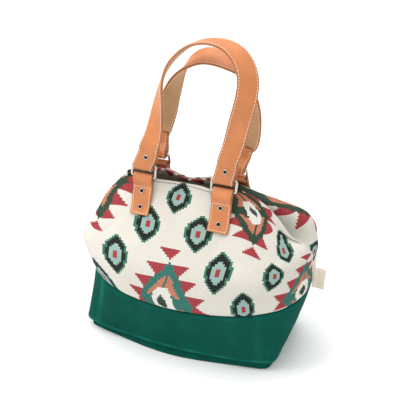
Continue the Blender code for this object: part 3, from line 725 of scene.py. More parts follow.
# Where the cloth lies on each panel: cells of the pattern pinned to places on the skin. Between the pins it follows
# lengths along the skin.
Pin = namedtuple("Pin", "turn level across down")
FRONT_PINS = [
    Pin(*row)
    for row in (
        (-0.0062, 8.12, 0, 0), (-0.0428, 6.68, -12, 16), (-0.0772, 5.29, -24, 32), (0.0302, 6.65, 12, 16),
        (0.0615, 5.43, 24, 32), (0.0935, 3.59, 36, 48), (0.127, 5.46, 48, 32), (0.1313, 6.49, 60, 16),
        (0.0035, 5.45, 0, 31), (-0.0098, 3.5, 0, 48), (0.0205, 4.75, 7, 39), (-0.0225, 4.63, -7, 39),
        (0.0327, 3.61, 14, 48), (0.0922, 6.69, 36, 17), (0.1147, 8.34, 36, 0), (0.0922, 7.3, 36, 9),
        (0.0755, 7.97, 25, 3), (0.108, 7.3, 43, 9), (0.096, 8.13, 31, 0), (0.105, 7.75, 36, 6), (0.124, 8.62, 36, -6),
        (0.133, 8.5, 41, -4), (0.137, 8.3, 49, -1), (0.1215, 7.89, 49, 8), (-0.143, 6.4, -36, 17),
        (-0.133, 7.35, -30, 9), (-0.125, 8.5, -23, 1), (0.1838, 5.79, 72, 31), (0.25, 4, 86, 46), (-0.25, 4, -58, 46),
    )
]
BACK_PINS = [
    Pin(*row)
    for row in (
        (0.33, 7.45, 35, 16), (0.3465, 8.66, 24, 1), (0.385, 8.5, 30, 2), (0.385, 7.7, 40, 11), (0.3205, 8.32, 25, 9),
        (0.2802, 8.35, 22, 13), (0.2932, 6.3, 28, 27), (0.5, 8.12, 84, 0), (0.5, 5.4, 84, 32), (0.5, 3.6, 84, 48),
        (0.375, 5.4, 48, 34), (0.375, 3.6, 46, 50), (0.625, 5.4, 124, 32), (0.625, 8.12, 122, 0),
        (0.75, 5.4, 150, 34), (0.75, 3.6, 150, 50), (0.25, 3.6, 20, 50),
    )
]
PIN_SPREAD = 12.0  # cells
PIN_LOOSENESS = 0.05
FLAT_TURN = 2e-5
FLAT_LEVEL = 2e-4


def read_grid(grid, row, column):
    """Values of a grid at fractional rows and columns, carried on past its edges."""
    r = np.clip(np.floor(row).astype(int), 0, grid.shape[0] - 2)
    c = np.clip(np.floor(column).astype(int), 0, grid.shape[1] - 2)
    a, b = row - r, column - c
    top = grid[r, c] * (1 - b) + grid[r, c + 1] * b
    low = grid[r + 1, c] * (1 - b) + grid[r + 1, c + 1] * b
    return top * (1 - a) + low * a


def lay_cloth(pins, first, last, props):
    """Cell coordinates of the cloth over a panel's turns and levels: lengths along the skin, eased to the pins."""
    turns, levels = np.linspace(first, last, 201), np.linspace(SEAM_LEVEL, MOUTH_LEVEL, 121)
    along, up = folded(turns, np.full(201, 5.0)), folded(np.zeros(121), levels)
    run, rise = lengths_along(along) / props.cell_across, lengths_along(up) / props.cell_down
    pinned = np.array(pins, float)
    at = np.stack([np.interp(pinned[:, 0], turns, run), np.interp(pinned[:, 1], levels, rise)], -1)
    middle, size = at.mean(0), np.ptp(at, axis=0).max() / 2

    def bowed(points):
        u, v = np.moveaxis((points - middle) / size, -1, 0)
        return np.stack([np.ones_like(u), u, v, u * u, u * v, v * v], -1)

    slope = np.linalg.lstsq(bowed(at), pinned[:, 2:], rcond=None)[0]
    off = pinned[:, 2:] - bowed(at) @ slope
    near = np.exp(-((at[:, None] - at[None]) ** 2).sum(-1) / PIN_SPREAD**2)
    pull = np.linalg.solve(near + PIN_LOOSENESS * np.eye(len(at)), off)
    grid = np.stack(np.meshgrid(run, rise), -1)
    cells = bowed(grid) @ slope
    for place_at, amount in zip(at, pull):
        cells += np.exp(-((grid - place_at) ** 2).sum(-1) / PIN_SPREAD**2)[..., None] * amount
    return turns, levels, cells[..., 0], cells[..., 1]


def find_places(turns, levels, across, down, want_across, want_down):
    """Turns and levels of the places that have the wanted cell coordinates."""
    rows = np.full(want_across.shape, len(levels) / 2)
    columns = np.full(want_across.shape, len(turns) / 2)
    slopes = [np.gradient(across, axis=k) for k in (0, 1)] + [np.gradient(down, axis=k) for k in (0, 1)]
    for _ in range(14):
        off_a = read_grid(across, rows, columns) - want_across
        off_d = read_grid(down, rows, columns) - want_down
        inside = np.clip(rows, 0, len(levels) - 1), np.clip(columns, 0, len(turns) - 1)
        ar, ac, dr, dc = (read_grid(slope, *inside) for slope in slopes)
        det = ar * dc - ac * dr
        rows = rows - np.clip((off_a * dc - ac * off_d) / det, -20, 20)
        columns = columns - np.clip((ar * off_d - dr * off_a) / det, -30, 30)
    rows = np.clip(rows, 0, len(levels) - 1)
    columns = np.clip(columns, 0, len(turns) - 1)
    return np.interp(columns, np.arange(len(turns)), turns), np.interp(rows, np.arange(len(levels)), levels)


def panel_surface(turn, level):
    """The jacquard's outer surface: folds, soft creases, a tuck at the base seam, a groove at the side seams."""
    out = outward(folded, turn, level)
    tuck = -2.6 * MM * hump(level, SEAM_LEVEL, 0.11)
    swell = 0.9 * MM * hump(level, SEAM_LEVEL + 0.35, 0.3)
    fade = np.clip((level - SEAM_LEVEL) / 0.5, 0, 1) * np.clip((MOUTH_LEVEL - level) / 1.2, 0, 1)
    side = np.minimum(np.abs(turn - 0.25), np.minimum(np.abs(turn - 0.75), np.abs(turn + 0.25)))
    groove = -1.2 * MM * hump(side, 0, 0.0035) * fade
    hem = 0.5 * MM * np.clip((level - 8.45) / 0.08, 0, 1)
    push = tuck + swell + groove + hem + (crease_push(turn, level) + ripple(turn, level, 0.5 * MM)) * fade
    skin = folded(turn, level) + out * push[..., None]
    skin[..., 2] += SEAM_GAP * (MOUTH_LEVEL - level) / 6
    return place(close_end(skin, turn, level))


def close_end(skin, turn, level):
    """The mouth's right end drawn together and up, where the cloth of front and back meets."""
    away = np.abs(turn - 0.25)
    hold = ease((0.145 - away) / 0.05) * ease((level - 7.7) / 1.1)
    side = np.clip((turn - 0.25) / 0.03, -1, 1)
    skin[..., 1] += hold * (3.0 * MM + side * 2.2 * MM - skin[..., 1])
    skin[..., 2] += 9.0 * MM * hold * (1 - 0.8 * ease((turn - 0.24) / 0.05))
    return skin


def yarn_colours(letters):
    """Linear colours of yarn letters, with how much each shows flecks (painted weave shade and cream ground yarn) in
    the fourth channel.
    """
    table = np.array([(*linear(YARNS[c]), FLECKS.get(c, FLECKS_ELSE)) for c in YARN_LETTERS])
    index = np.array([YARN_LETTERS.index(c) for c in letters.ravel()])
    return table[index]


def set_cells(mesh, cells, face_letters):
    """Writes each vertex's cell coordinates as a UV map and each face's yarn as a colour attribute."""
    loops = np.empty(len(mesh.loops), np.int64)
    mesh.loops.foreach_get("vertex_index", loops)
    mesh.uv_layers.new(name="cells").data.foreach_set("uv", cells[loops].astype(np.float32).ravel())
    layer = mesh.color_attributes.new("yarn", "FLOAT_COLOR", "CORNER")
    colours = np.repeat(yarn_colours(face_letters), [p.loop_total for p in mesh.polygons], axis=0)
    layer.data.foreach_set("color", np.asarray(colours, np.float32).ravel())


def make_panel(name, pins, first, last, props):
    """One cloth panel, its mesh laid along the threads so that each step of the pattern is one face."""
    turns, levels, across, down = lay_cloth(pins, first, last, props)
    lines_a, lines_d = (np.arange(int(np.floor(v.min())), int(np.ceil(v.max())) + 1) for v in (across, down))
    want_a, want_d = np.meshgrid(lines_a.astype(float), lines_d.astype(float))
    turn, level = find_places(turns, levels, across, down, want_a, want_d)
    cell_a, cell_d = np.meshgrid(lines_a[:-1], lines_d[:-1])
    letters = pattern(cell_a, cell_d)
    quads = np.array(grid_faces(len(lines_d), len(lines_a), flip=True))
    flat_turn, flat_level = turn.ravel(), level.ravel()
    # cells beyond the panel's edges come out flat on the edge, and are left out
    keep = (np.ptp(flat_turn[quads], axis=1) > FLAT_TURN) & (np.ptp(flat_level[quads], axis=1) > FLAT_LEVEL)
    used = np.unique(quads[keep])
    index = np.full(len(flat_turn), -1)
    index[used] = np.arange(len(used))
    points = panel_surface(flat_turn[used], flat_level[used])
    faces = index[quads[keep]].tolist()
    made = add_mesh(name, points, faces, [jacquard(), lining(props)])
    if len(made.data.polygons) != len(faces):
        raise RuntimeError(f"{name}: {len(faces) - len(made.data.polygons)} faces were lost")
    set_cells(made.data, np.stack([want_a.ravel(), want_d.ravel()], -1)[used], letters.ravel()[keep])
    add_modifier(made, "thickness", "SOLIDIFY", thickness=CLOTH_WALL, offset=-1, material_offset=1, use_rim=True)
    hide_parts("panel")
    return made


# ---------------------------------------------------------------- leather and rings


def turn_at(x, level, back):
    """The turn where the front, or the back, of a level stands at x."""
    x, level = np.broadcast_arrays(np.asarray(x, float), np.asarray(level, float))
    row = Section(*np.moveaxis(smooth_rows(SECTIONS, level), -1, 0))
    half = np.where(x >= 0, row.right, row.left) * BODY_WIDTH / 2
    wide = np.minimum(np.abs(x) / half, 0.999)
    deep = (1 - wide**row.corner) ** (1 / row.corner)
    turn = np.arctan2(wide, deep) / (2 * pi) * np.where(x >= 0, 1, -1)
    return (0.5 - turn if back else turn) % 1.0


def down_line(x, back):
    """Levels down the surface at x from the mouth: lengths run and levels."""
    levels = MOUTH_LEVEL - np.arange(0, 150) * MOUTH_LEVEL / 240
    points = folded(turn_at(x, levels, back), levels)
    return lengths_along(points), levels


def skin_frame(x, down, back, line):
    """Points on the skin at lengths below the mouth, with their outward normals and ways down."""
    x, down = np.broadcast_arrays(np.asarray(x, float), np.asarray(down, float))
    level = np.interp(np.maximum(down, 0), *line)
    at = folded(turn_at(x, level, back), level)
    lower = np.interp(np.maximum(down, 0) + 4 * MM, *line)
    way = unit((folded(turn_at(x, lower, back), lower) - at) * np.array([0, 1.0, 1.0]))
    normal = np.cross(np.array([-1.0 if back else 1.0, 0, 0]), -way)
    return at + way * np.minimum(down, 0)[..., None], normal, way


def seat_lift(x, back, line):
    """How far the skin under a tab's width stands above the skin at its middle, near the mouth."""
    downs = np.array([0, 3 * MM, TAB_FLAT_LENGTH])[:, None]
    across = np.array([-0.5, -0.25, 0.25, 0.5])[None, :] * TAB_WIDTH
    middle, normal, _ = skin_frame(x, downs, back, line)
    at, _, _ = skin_frame(x + across, downs, back, line)
    flat = middle + across[..., None] * np.array([1.0, 0, 0])
    return max(0.0, float(((at - flat) * normal).sum(-1).max()))


Seat = namedtuple("Seat", "x back line lift")


def tab_seat(x, back):
    """Where a tab sits: its place across, its side, the skin's levels below it and its lift near the mouth."""
    line = down_line(x, back)
    return Seat(x, back, line, seat_lift(x, back, line))


def bar_offset():
    """How far the ring's lower bar stands off the skin."""
    return TAB_GAP + TAB_WALL + BAR_CLEARANCE + RING_WIRE / 2


def tab_profile():
    """The tab's middle line as pairs of offset from the skin and length below the mouth."""
    radius = RING_WIRE / 2 + BAR_CLEARANCE + TAB_WALL / 2
    middle = bar_offset()
    near = TAB_GAP + TAB_WALL / 2
    outer = near + TAB_WALL + BAR_CLEARANCE
    line = [(near, TAB_BACK_LENGTH), (near, TAB_BACK_LENGTH / 2), (near, 2 * MM)]
    for step in range(9):
        angle = pi - step * pi / 8
        line.append((middle + radius * cos(angle), -BAR_ABOVE_MOUTH - radius * sin(angle)))
    line += [(middle + radius * 0.94, 2.5 * MM), (outer + 0.9 * MM, 6.5 * MM)]
    line += [(outer, down) for down in (10.5 * MM, TAB_RIVET_UPPER, TAB_BACK_LENGTH + 3 * MM)]
    line += [(near + 1.2 * MM, TAB_BACK_LENGTH + 8 * MM), (near, TAB_BACK_LENGTH + 13 * MM), (near, TAB_RIVET_LOWER)]
    line += [(near, down) for down in (TAB_RIVET_LOWER + 6 * MM, TAB_LENGTH - 1.5 * MM, TAB_LENGTH)]
    return np.array(line)


def tab_place(seat, across, offset, down):
    """A tab's points from their places across, off and down the skin."""
    at, _, _ = skin_frame(seat.x + across, down, seat.back, seat.line)
    middle, normal, _ = skin_frame(seat.x, down + 0 * across, seat.back, seat.line)
    flat = middle + across[..., None] * np.array([1.0, 0, 0])
    blend = ease((down - TAB_FLAT_LENGTH) / TAB_BLEND_LENGTH)
    follow = ((at - flat) * normal).sum(-1)
    mixed = follow * blend + seat.lift * (1 - blend)
    lift = np.where(blend > 0, np.maximum(follow, mixed), seat.lift)
    return flat + normal * (lift + offset)[..., None]


def ring_frame(x, back):
    """The ring's lower bar, its upward way and its upper bar."""
    seat = tab_seat(x, back)
    at, normal, way = skin_frame(x, 0, back, seat.line)
    low = at + normal * (bar_offset() + seat.lift) - way * BAR_ABOVE_MOUTH
    lean = RING_LEAN_BACK if back else RING_LEAN_FRONT
    up = np.array([0, -sin(lean), cos(lean)])
    return low, up, low + up * (RING_INSIDE_HEIGHT + RING_WIRE)


def strap_outline(width, wall, crown):
    """A strap's section as (across, out) pairs with rounded edges and a slight crown, smooth side first."""
    half, thick = width / 2, wall / 2
    edge = [(cos(a), sin(a)) for a in np.linspace(-pi / 2, pi / 2, 7)]
    right = [(half - thick + thick * c, thick * s) for c, s in edge]
    left = [(-half + thick - thick * c, -thick * s) for c, s in edge]
    face = [(half * (1 - 2 * k / 8)) for k in range(1, 8)]
    top = [(a * 0.93, thick + crown * (1 - (a / half) ** 2)) for a in face]
    bottom = [(-a * 0.93, -thick) for a in face]
    return np.array(right + top + left + bottom)


def strap_frames(rows):
    """Points, ways, widths and outward ways along a strap."""
    ways = unit(np.gradient(rows[:, :3], axis=0))
    turn, bank = np.radians(rows[:, 3]), np.radians(rows[:, 4])
    wide = np.stack([np.cos(turn) * np.cos(bank), np.sin(turn) * np.cos(bank), np.sin(bank)], -1)
    wide = unit(wide - ways * (wide * ways).sum(-1, keepdims=True))
    return rows[:, :3], ways, wide, np.cross(wide, ways)


def stitch_row(points, ways, outs, pitch, long, thick):
    """One row of thread stitches as a mesh: small capsules, half sunk in what they hold."""
    run = lengths_along(points)
    count = int((run[-1] - long) / pitch)
    at = (run[-1] - count * pitch) / 2 + np.arange(count + 1) * pitch
    at = at[(at > long / 2) & (at < run[-1] - long / 2)]
    centre, way, out = (np.stack([np.interp(at, run, a[:, k]) for k in range(3)], -1) for a in (points, ways, outs))
    way = unit(way)
    out = unit(out - way * (out * way).sum(-1, keepdims=True))
    side = np.cross(way, out)
    along, size = STITCH_SHAPE[:, 0, None, None], STITCH_SHAPE[:, 1, None, None]
    angles = np.arange(STITCH_SIDES) * 2 * pi / STITCH_SIDES
    centre, way, out, side = (v[:, None, None] for v in (centre, way, out, side))
    spoke = (side * np.cos(angles)[:, None] + out * np.sin(angles)[:, None]) * thick / 2
    verts = centre + way * along * long + spoke * size + out * thick * 0.12
    rings = len(STITCH_SHAPE)
    one = grid_faces(rings, STITCH_SIDES, wrap=True) + end_faces(rings, STITCH_SIDES)
    step = rings * STITCH_SIDES
    return verts.reshape(-1, 3), [[n * step + i for i in face] for n in range(len(at)) for face in one]


def end_faces(rings, sides):
    """The two faces that close a tube of rings."""
    return [list(range(sides))[::-1], list(range((rings - 1) * sides, rings * sides))]


def add_stitching(name, rows, colour, material="waxed_thread"):
    """Rows of stitches as one named mesh."""
    points, faces, start = [], [], 0
    for verts, quads in rows:
        points.append(verts)
        faces += [[start + i for i in face] for face in quads]
        start += len(verts)
    return add_mesh(name, np.concatenate(points), faces, [finish(thread_material, material, tuple(colour))])


def leather_strip(name, points, trim, flip=False):
    """A strip of leather from rings of points: grain side, flesh side and painted edges."""
    rings, sides = points.shape[:2]
    ends = end_faces(rings, sides)
    faces = grid_faces(rings, sides, wrap=True, flip=flip) + ([face[::-1] for face in ends] if flip else ends)
    kinds = np.full(sides, 2)
    kinds[GRAIN_SIDE], kinds[FLESH_SIDE] = 0, 1
    slots = np.concatenate([np.tile(kinds, rings - 1), [2, 2]])
    made = add_mesh(name, place(points), faces, leather(trim), slots)
    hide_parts(name)


def foot_radius():
    """The reach of the strap's middle line round the ring's upper bar."""
    return RING_WIRE / 2 + BAR_CLEARANCE + LOOP_SLACK + STRAP_WALL / 2


def foot_line(x, back, toward):
    """The folded foot of a strap, from the fold's end to the straight's, with its outward and upward ways."""
    _, _, high = ring_frame(x, back)
    rise = unit(toward - high)
    most = sin(FOOT_LEAN)
    rise = unit(np.array([min(max(rise[0], -most), most), rise[1], rise[2]]))
    wide = np.array([-1.0 if back else 1.0, 0, 0])
    wide = wide - rise * float(wide @ rise)
    out = np.cross(unit(wide), rise)
    radius = foot_radius()
    inner = radius - STRAP_WALL - FOLD_GAP
    pairs = [(inner, FOLD_BACK_LENGTH), (inner, 20 * MM), (inner - 0.4 * MM, 13 * MM), (-radius * 0.95, 4 * MM)]
    for step in range(8):
        angle = pi + step * pi / 7
        pairs.append((radius * cos(angle), radius * sin(angle)))
    pairs += [(radius, 7 * MM), (radius, HANDLE_RIVET_UP), (radius, 19 * MM), (radius, FOOT_STRAIGHT)]
    turn = 180.0 if back else 0.0
    return [np.array([*(high + out * n + rise * t), turn, 0.0]) for n, t in pairs], out, rise


def handle_rows(back):
    """The whole middle line of a handle with both folded feet, as the solids have it."""
    table = BACK_LINE if back else FRONT_LINE
    middle = [np.array([s.x * MM, s.y * MM, s.z * MM, s.turn, s.bank]) for s in table]
    ends = tab_middles(back)
    left, *left_ways = foot_line(ends[0], back, middle[0][:3])
    right, *right_ways = foot_line(ends[1], back, middle[-1][:3])
    last_turn = 360.0 if back else -180.0
    right = [np.array([*p[:3], last_turn, 0.0]) for p in right[::-1]]
    even = line_through([left[-1]] + middle + [right[0]], CAD_STATIONS)
    rows = np.array(left[:-1] + list(even) + right[1:])
    for part, x, most in zip(np.split(rows, [len(rows) // 2]), ends, FOOT_SWAY[back]):
        part[:, 0] += sway(part[:, 2] - ring_frame(x, back)[2][2], most)
    return rows, left_ways, right_ways


def tab_middles(back):
    """Places across of the left and the right tab."""
    shift = BACK_TAB_SHIFT if back else 0
    return TAB_LEFT_X + shift, TAB_RIGHT_X + shift


def sway(height, most):
    """How far a foot of the strap leans aside at a height over its ring: none at the ring itself."""
    share = np.clip(height / SWAY_HEIGHT, 0, None)
    return most * share**2 * np.exp(2 * (1 - share))


def make_handle(name, back, trim):
    """One strap: rounded painted edges, smooth side out, flesh side in, both feet folded round the rings."""
    at, ways, wide, out = strap_frames(line_through(handle_rows(back)[0], HANDLE_STATIONS))
    outline = strap_outline(STRAP_WIDTH, STRAP_WALL, 0.25 * MM)
    leather_strip(name, at[:, None] + wide[:, None] * outline[:, :1] + out[:, None] * outline[:, 1:], trim)
    half = STRAP_WIDTH / 2 - trim.stitch_inset
    stitches = []
    for across in (-half, half):
        for side, lift in ((1, 0.03 * MM), (-1, 0)):
            line = place(at + wide * across + out * side * (STRAP_WALL / 2 + lift))[2:-2]
            stitches.append(stitch_row(line, ways[2:-2], out[2:-2] * side, trim.stitch_pitch, *HANDLE_STITCH))
    made = add_stitching(name + "_stitching", stitches, trim.thread_colour)


def make_tab(name, x, back, trim):
    """One leather tab, rolled round its ring's bar, with rounded edges and a row of stitches round its flap."""
    seat = tab_seat(x, back)
    fine = line_through(tab_profile(), TAB_STATIONS)
    ways = unit(np.gradient(fine, axis=0))
    outline = strap_outline(TAB_WIDTH, TAB_WALL, 0.1 * MM)
    across = np.broadcast_to(outline[None, :, 0], (len(fine), len(outline)))
    offset = fine[:, None, 0] + ways[:, None, 1] * outline[None, :, 1]
    down = fine[:, None, 1] - ways[:, None, 0] * outline[None, :, 1]
    leather_strip(name, tab_place(seat, across, offset, down), trim, flip=back)
    inset, end = TAB_WIDTH / 2 - trim.stitch_inset, TAB_LENGTH - trim.stitch_inset
    flap = fine[int(np.argmin(np.abs(fine[60:, 1] - 10.5 * MM))) + 60 :]
    top = flap[0, 1]
    steps, wide = np.linspace(top, end, 30), np.linspace(-inset, inset, 16)
    _, normal, _ = skin_frame(x, 20 * MM, back, seat.line)
    stitches = []
    for across, down in ((-inset, steps), (inset, steps), (wide, end), (wide, top)):
        across, down = (np.array(v) for v in np.broadcast_arrays(across, down))
        offset = np.interp(down, flap[:, 1], flap[:, 0]) + TAB_WALL / 2 + 0.05 * MM
        run = place(tab_place(seat, across, offset, down))
        out = np.broadcast_to(normal, run.shape)
        stitches.append(stitch_row(run, unit(np.gradient(run, axis=0)), out, *TAB_STITCH))
    made = add_stitching(name + "_stitching", stitches, trim.thread_colour)


def make_ring(name, x, back, trim):
    """One rectangular ring of round wire."""
    low, up, high = ring_frame(x, back)
    middle = (low + high) / 2
    side = np.array([1.0, 0, 0])
    out = np.cross(side, up)
    half_w = (RING_INSIDE_WIDTH + RING_WIRE) / 2
    half_h = (RING_INSIDE_HEIGHT + RING_WIRE) / 2
    path = np.array([
        (sx * (half_w - RING_CORNER) + RING_CORNER * cos(angle), sy * (half_h - RING_CORNER) + RING_CORNER * sin(angle))
        for sx, sy, start in ((1, 1, 0), (-1, 1, 90), (-1, -1, 180), (1, -1, 270))
        for angle in np.radians(start + np.linspace(0, 90, 9))
    ])
    way = unit(np.roll(path, -1, 0) - np.roll(path, 1, 0))
    sides = 16
    angles = np.arange(sides) * 2 * pi / sides
    outward_way = side * way[:, 1:] - up * way[:, :1]
    centre = middle + side * path[:, :1] + up * path[:, 1:]
    round_it = outward_way[:, None] * np.cos(angles)[None, :, None] + out * np.sin(angles)[None, :, None]
    faces = np.array(grid_faces(len(path) + 1, sides, wrap=True, flip=True)) % (len(path) * sides)
    made = add_mesh(name, place(centre[:, None] + round_it * RING_WIRE / 2), faces.tolist(), [nickel(trim)])
    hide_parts(name)


def make_rivet(name, seat, normal, trim):
    """One hollow rivet: a rolled rim round a shallow hole whose floor and inner wall are painted dark as its shade,
    sunk a little in the leather.
    """
    normal = unit(normal)
    side = unit(np.cross(normal, [0, 0, 1.0]))
    other = np.cross(normal, side)
    rim, hole = RIVET_RADIUS, RIVET_RADIUS * RIVET_HOLE_SHARE
    profile = [(rim * 0.98, -RIVET_SEAT * 0.9), (rim, RIVET_SEAT * 0.4)]
    profile += [(rim * r, RIVET_HEIGHT * h) for r, h in ((0.97, 0.62), (0.9, 0.9), (0.82, 1), (0.74, 0.93))]
    profile += [(hole * r, RIVET_HEIGHT * h) for r, h in ((1, 0.7), (0.96, 0.5), (0.92, 0.35))]
    sides, metal_bands, hole_bands = 28, 6, 2
    angles = np.arange(sides) * 2 * pi / sides
    spoke = side * np.cos(angles)[:, None] + other * np.sin(angles)[:, None]
    points = [seat + spoke * radius + normal * height for radius, height in profile]
    faces = grid_faces(len(profile), sides, wrap=True) + end_faces(len(profile), sides)[1:]
    slots = [0] * (sides * metal_bands) + [1] * (sides * hole_bands + 1)
    # the hole's shallow floor and inner wall are painted near black as the shade inside it
    dark = finish(leather_material, "rivet_hole_shade", linear("#1A1410"), 0.8, 0.4, 0.02)
    made = add_mesh(name, place(np.array(points)), faces, [nickel(trim), dark], slots)
    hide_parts(name)


def tab_rivet_seat(x, down, back):
    """Where a rivet sits on a tab's outer face, and its outward way."""
    profile = tab_profile()[11:]
    seat = tab_seat(x, back)

    def face(across, below):
        offset = np.interp(down + below, profile[:, 1], profile[:, 0]) + TAB_WALL / 2
        return tab_place(seat, np.array(float(across)), offset, np.array(down + below))

    reach = RIVET_RADIUS
    out = unit(np.cross(face(reach, 0) - face(-reach, 0), -(face(0, reach) - face(0, -reach))) * (-1 if back else 1))
    rise = max(float((face(a, b) - face(0, 0)) @ out) for a in (-reach, 0, reach) for b in (-reach, 0, reach))
    return face(0, 0) + out * rise, out


def all_tabs():
    """Each tab's side, end and place across."""
    for back, side in ((False, "front"), (True, "back")):
        for end, x in zip(("left", "right"), tab_middles(back)):
            yield back, f"{side}_{end}", x


# ---------------------------------------------------------------- operators


class MakePanels(bpy.types.Operator):
    """The patterned cloth upper, as a front and a back panel"""

    bl_idname = "tote.make_panels"
    bl_label = "Jacquard panels"

    def execute(self, context):
        props = context.scene.tote_body
        make_panel("panel_front", FRONT_PINS, -0.25, 0.25, props)
        make_panel("panel_back", BACK_PINS, 0.25, 0.75, props)
        return {"FINISHED"}


def base_surface(turn, level):
    """The canvas base: a soft crease along its lower edge and its underside drawn in beneath it."""
    out = outward(folded, turn, level)
    flat_out = unit(out * np.array([1.0, 1.0, 0.0]))
    edge = 0.8 * MM * hump(level, 0.96, 0.05)
    at_left, at_right = hump(turn % 1, 0.873, 0.045), hump(turn % 1, 0.115, 0.035)
    before = hump((turn + 0.5) % 1, 0.5, 0.17)
    under = -(0.8 + 2.2 * before + 6.0 * at_left + 3.0 * at_right) * MM * ease((0.94 - level) / 0.22)
    tuck = -2.2 * MM * hump(level, SEAM_LEVEL, 0.09)
    fade = np.clip(level / 0.8, 0, 1) * np.clip((SEAM_LEVEL - level) / 0.4, 0, 1)
    push = tuck + (crease_push(turn, level) + ripple(turn, level, 0.35 * MM)) * fade
    side = flat_out * (edge + under)[..., None]
    return place(folded(turn, level) + out * push[..., None] + side)


class MakeBase(bpy.types.Operator):
    """The boxed canvas base with its creased corners and flat floor"""

    bl_idname = "tote.make_base"
    bl_label = "Canvas base"

    def execute(self, context):
        props = context.scene.tote_body
        count = 320
        turns = np.arange(count) / count
        turns = turns - 0.018 * np.sin(4 * pi * turns)
        levels = np.concatenate([np.linspace(0, 1.3, 22), np.linspace(1.3, SEAM_LEVEL, 26)[1:]])
        turn, level = np.meshgrid(turns, levels)
        wall = base_surface(turn, level)
        middle = wall[0].mean(0) * np.array([1, 1, 0])
        floor = []
        for share in (0.06, 0.2, 0.4, 0.6, 0.8, 0.95, 0.985):
            ring = middle + (wall[0] - middle) * share
            ring[:, 2] = 0.15 * MM * (1 - share) + 0.2 * MM * (share < 0.97)
            floor.append(ring)
        points = np.concatenate([*floor, *wall])
        rows = len(floor) + len(levels)
        faces = grid_faces(rows, count, wrap=True)
        faces.append(list(range(count))[::-1])
        made = add_mesh("base_canvas", points, faces, [
            finish(canvas_material, "waxed_canvas", tuple(props.canvas_colour)), lining(props),
        ])
        # paler teal mask: a painted highlight along the lit lower edge, a paler band just below the seam, and rubbed
        # wear up the corner creases
        worn = 0.55 * hump(level, 1.0, 0.05) + 0.15 * hump(level, 2.9, 0.1)
        for at, width, much in WORN_CREASES:
            away = (turn - at + 0.5) % 1 - 0.5 + (level - 1.5) * 0.004
            worn += much * hump(away, 0, width) * np.clip(level, 0, 1)
        worn *= 0.7 + 0.3 * np.sin(turn * 150 + level * 3)
        worn = np.concatenate([np.zeros(len(floor) * count), np.clip(worn, 0, 1).ravel()])
        layer = made.data.attributes.new("worn", "FLOAT", "POINT")
        layer.data.foreach_set("value", worn.astype(np.float32))
        add_modifier(made, "thickness", "SOLIDIFY", thickness=CLOTH_WALL, offset=-1, material_offset=1, use_rim=True)
        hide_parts("base")
        return {"FINISHED"}


class MakeHems(bpy.types.Operator):
    """The turned hem facings inside the mouth and the dark stitching along the front edge"""

    bl_idname = "tote.make_hems"
    bl_label = "Hems and mouth stitching"

    def execute(self, context):
        props = context.scene.tote_body
        for name, middle in (("hem_front", 0.0), ("hem_back", 0.5)):
            turns = middle + np.linspace(-HEM_TURNS, HEM_TURNS, 90)
            levels = np.linspace(MOUTH_LEVEL - HEM_LEVELS, MOUTH_LEVEL, 9)
            turn, level = np.meshgrid(turns, levels)
            out = outward(folded, turn, level)
            inner = CLOTH_WALL + HEM_GAP
            skin = place(folded(turn, level) - out * inner)
            made = add_mesh(name + "_facing", skin.reshape(-1, 3), grid_faces(len(levels), len(turns)), [
                jacquard(),
            ])
            run = (turn - middle) * 0.5 / props.cell_across
            cells = np.stack([run + 30, (MOUTH_LEVEL - level) * 20 * MM / props.cell_down], -1)
            face_turn = (turn[:-1, :-1] + turn[1:, 1:]) / 2 - middle
            face_level = (level[:-1, :-1] + level[1:, 1:]) / 2
            red = (np.abs(((-face_turn + 0.5) * 60) % 2 - 1) < (face_level - 8.2)) & (middle == 0.5)
            letters = np.where(red & (np.abs(face_turn) < 0.08), "R", ".")
            set_cells(made.data, cells.reshape(-1, 2), letters)
            add_modifier(made, "thickness", "SOLIDIFY", thickness=HEM_WALL, offset=-1, use_rim=True)
            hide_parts(name)
        rows = []
        for middle in (0.0, 0.5):
            turn = middle + np.linspace(-MOUTH_STITCH_TURNS, MOUTH_STITCH_TURNS, 160)
            level = np.full(turn.shape, MOUTH_STITCH_LEVEL)
            out = outward(folded, turn, level)
            line = panel_surface(turn, level) + out * 0.1 * MM
            rows.append(stitch_row(line, unit(np.gradient(line, axis=0)), out, *MOUTH_STITCH))
        made = add_stitching("mouth_stitching", rows, linear("#2A3230"), "dark_thread")
        return {"FINISHED"}


class MakeLabel(bpy.types.Operator):
    """The folded cotton tag in the right side seam, left bare"""

    bl_idname = "tote.make_label"
    bl_label = "Side label"

    def execute(self, context):
        props = context.scene.tote_body
        normal = unit(outward(folded, 0.25, LABEL_LEVEL) * np.array([1, 1, 0.3]))
        side = unit(np.cross([0, 0, 1.0], normal))
        reach = max(float(folded(0.25, LABEL_LEVEL + r)[0]) for r in (-LABEL_RISE, 0, LABEL_RISE))
        steps, rows = 16, 14
        s, r = np.meshgrid(np.linspace(0, 1, steps), np.linspace(-1, 1, rows))
        start = folded(0.25 + r * LABEL_SLANT, LABEL_LEVEL + r * LABEL_RISE)
        start[..., 0] = reach + LABEL_GAP
        bow = LABEL_BOW * np.sin(pi * s) + 0.5 * MM * np.sin(pi * s) * r
        layers, faces = [], []
        for sign in (1, -1):
            open_it = sign * LABEL_WALL / 2 * (1 - 0.55 * s**8)
            faces += grid_faces(rows, steps, start=len(layers) * rows * steps, flip=sign > 0)
            layers.append(start + normal * (s * LABEL_WIDTH)[..., None] + side * (bow + open_it * 0.72)[..., None])
        made = add_mesh("label_tag", place(np.concatenate(layers)), faces, [
            finish(cotton_material, "cotton_tape", tuple(props.label_colour)),
        ])
        add_modifier(made, "thickness", "SOLIDIFY", thickness=0.28 * MM, offset=0, use_rim=True)
        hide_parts("label")
        return {"FINISHED"}


class MakeTabs(bpy.types.Operator):
    """The four leather tabs with their stitching"""

    bl_idname = "tote.make_tabs"
    bl_label = "Leather tabs"

    def execute(self, context):
        for back, place_name, x in all_tabs():
            make_tab("tab_" + place_name, x, back, context.scene.tote_trim)
        return {"FINISHED"}


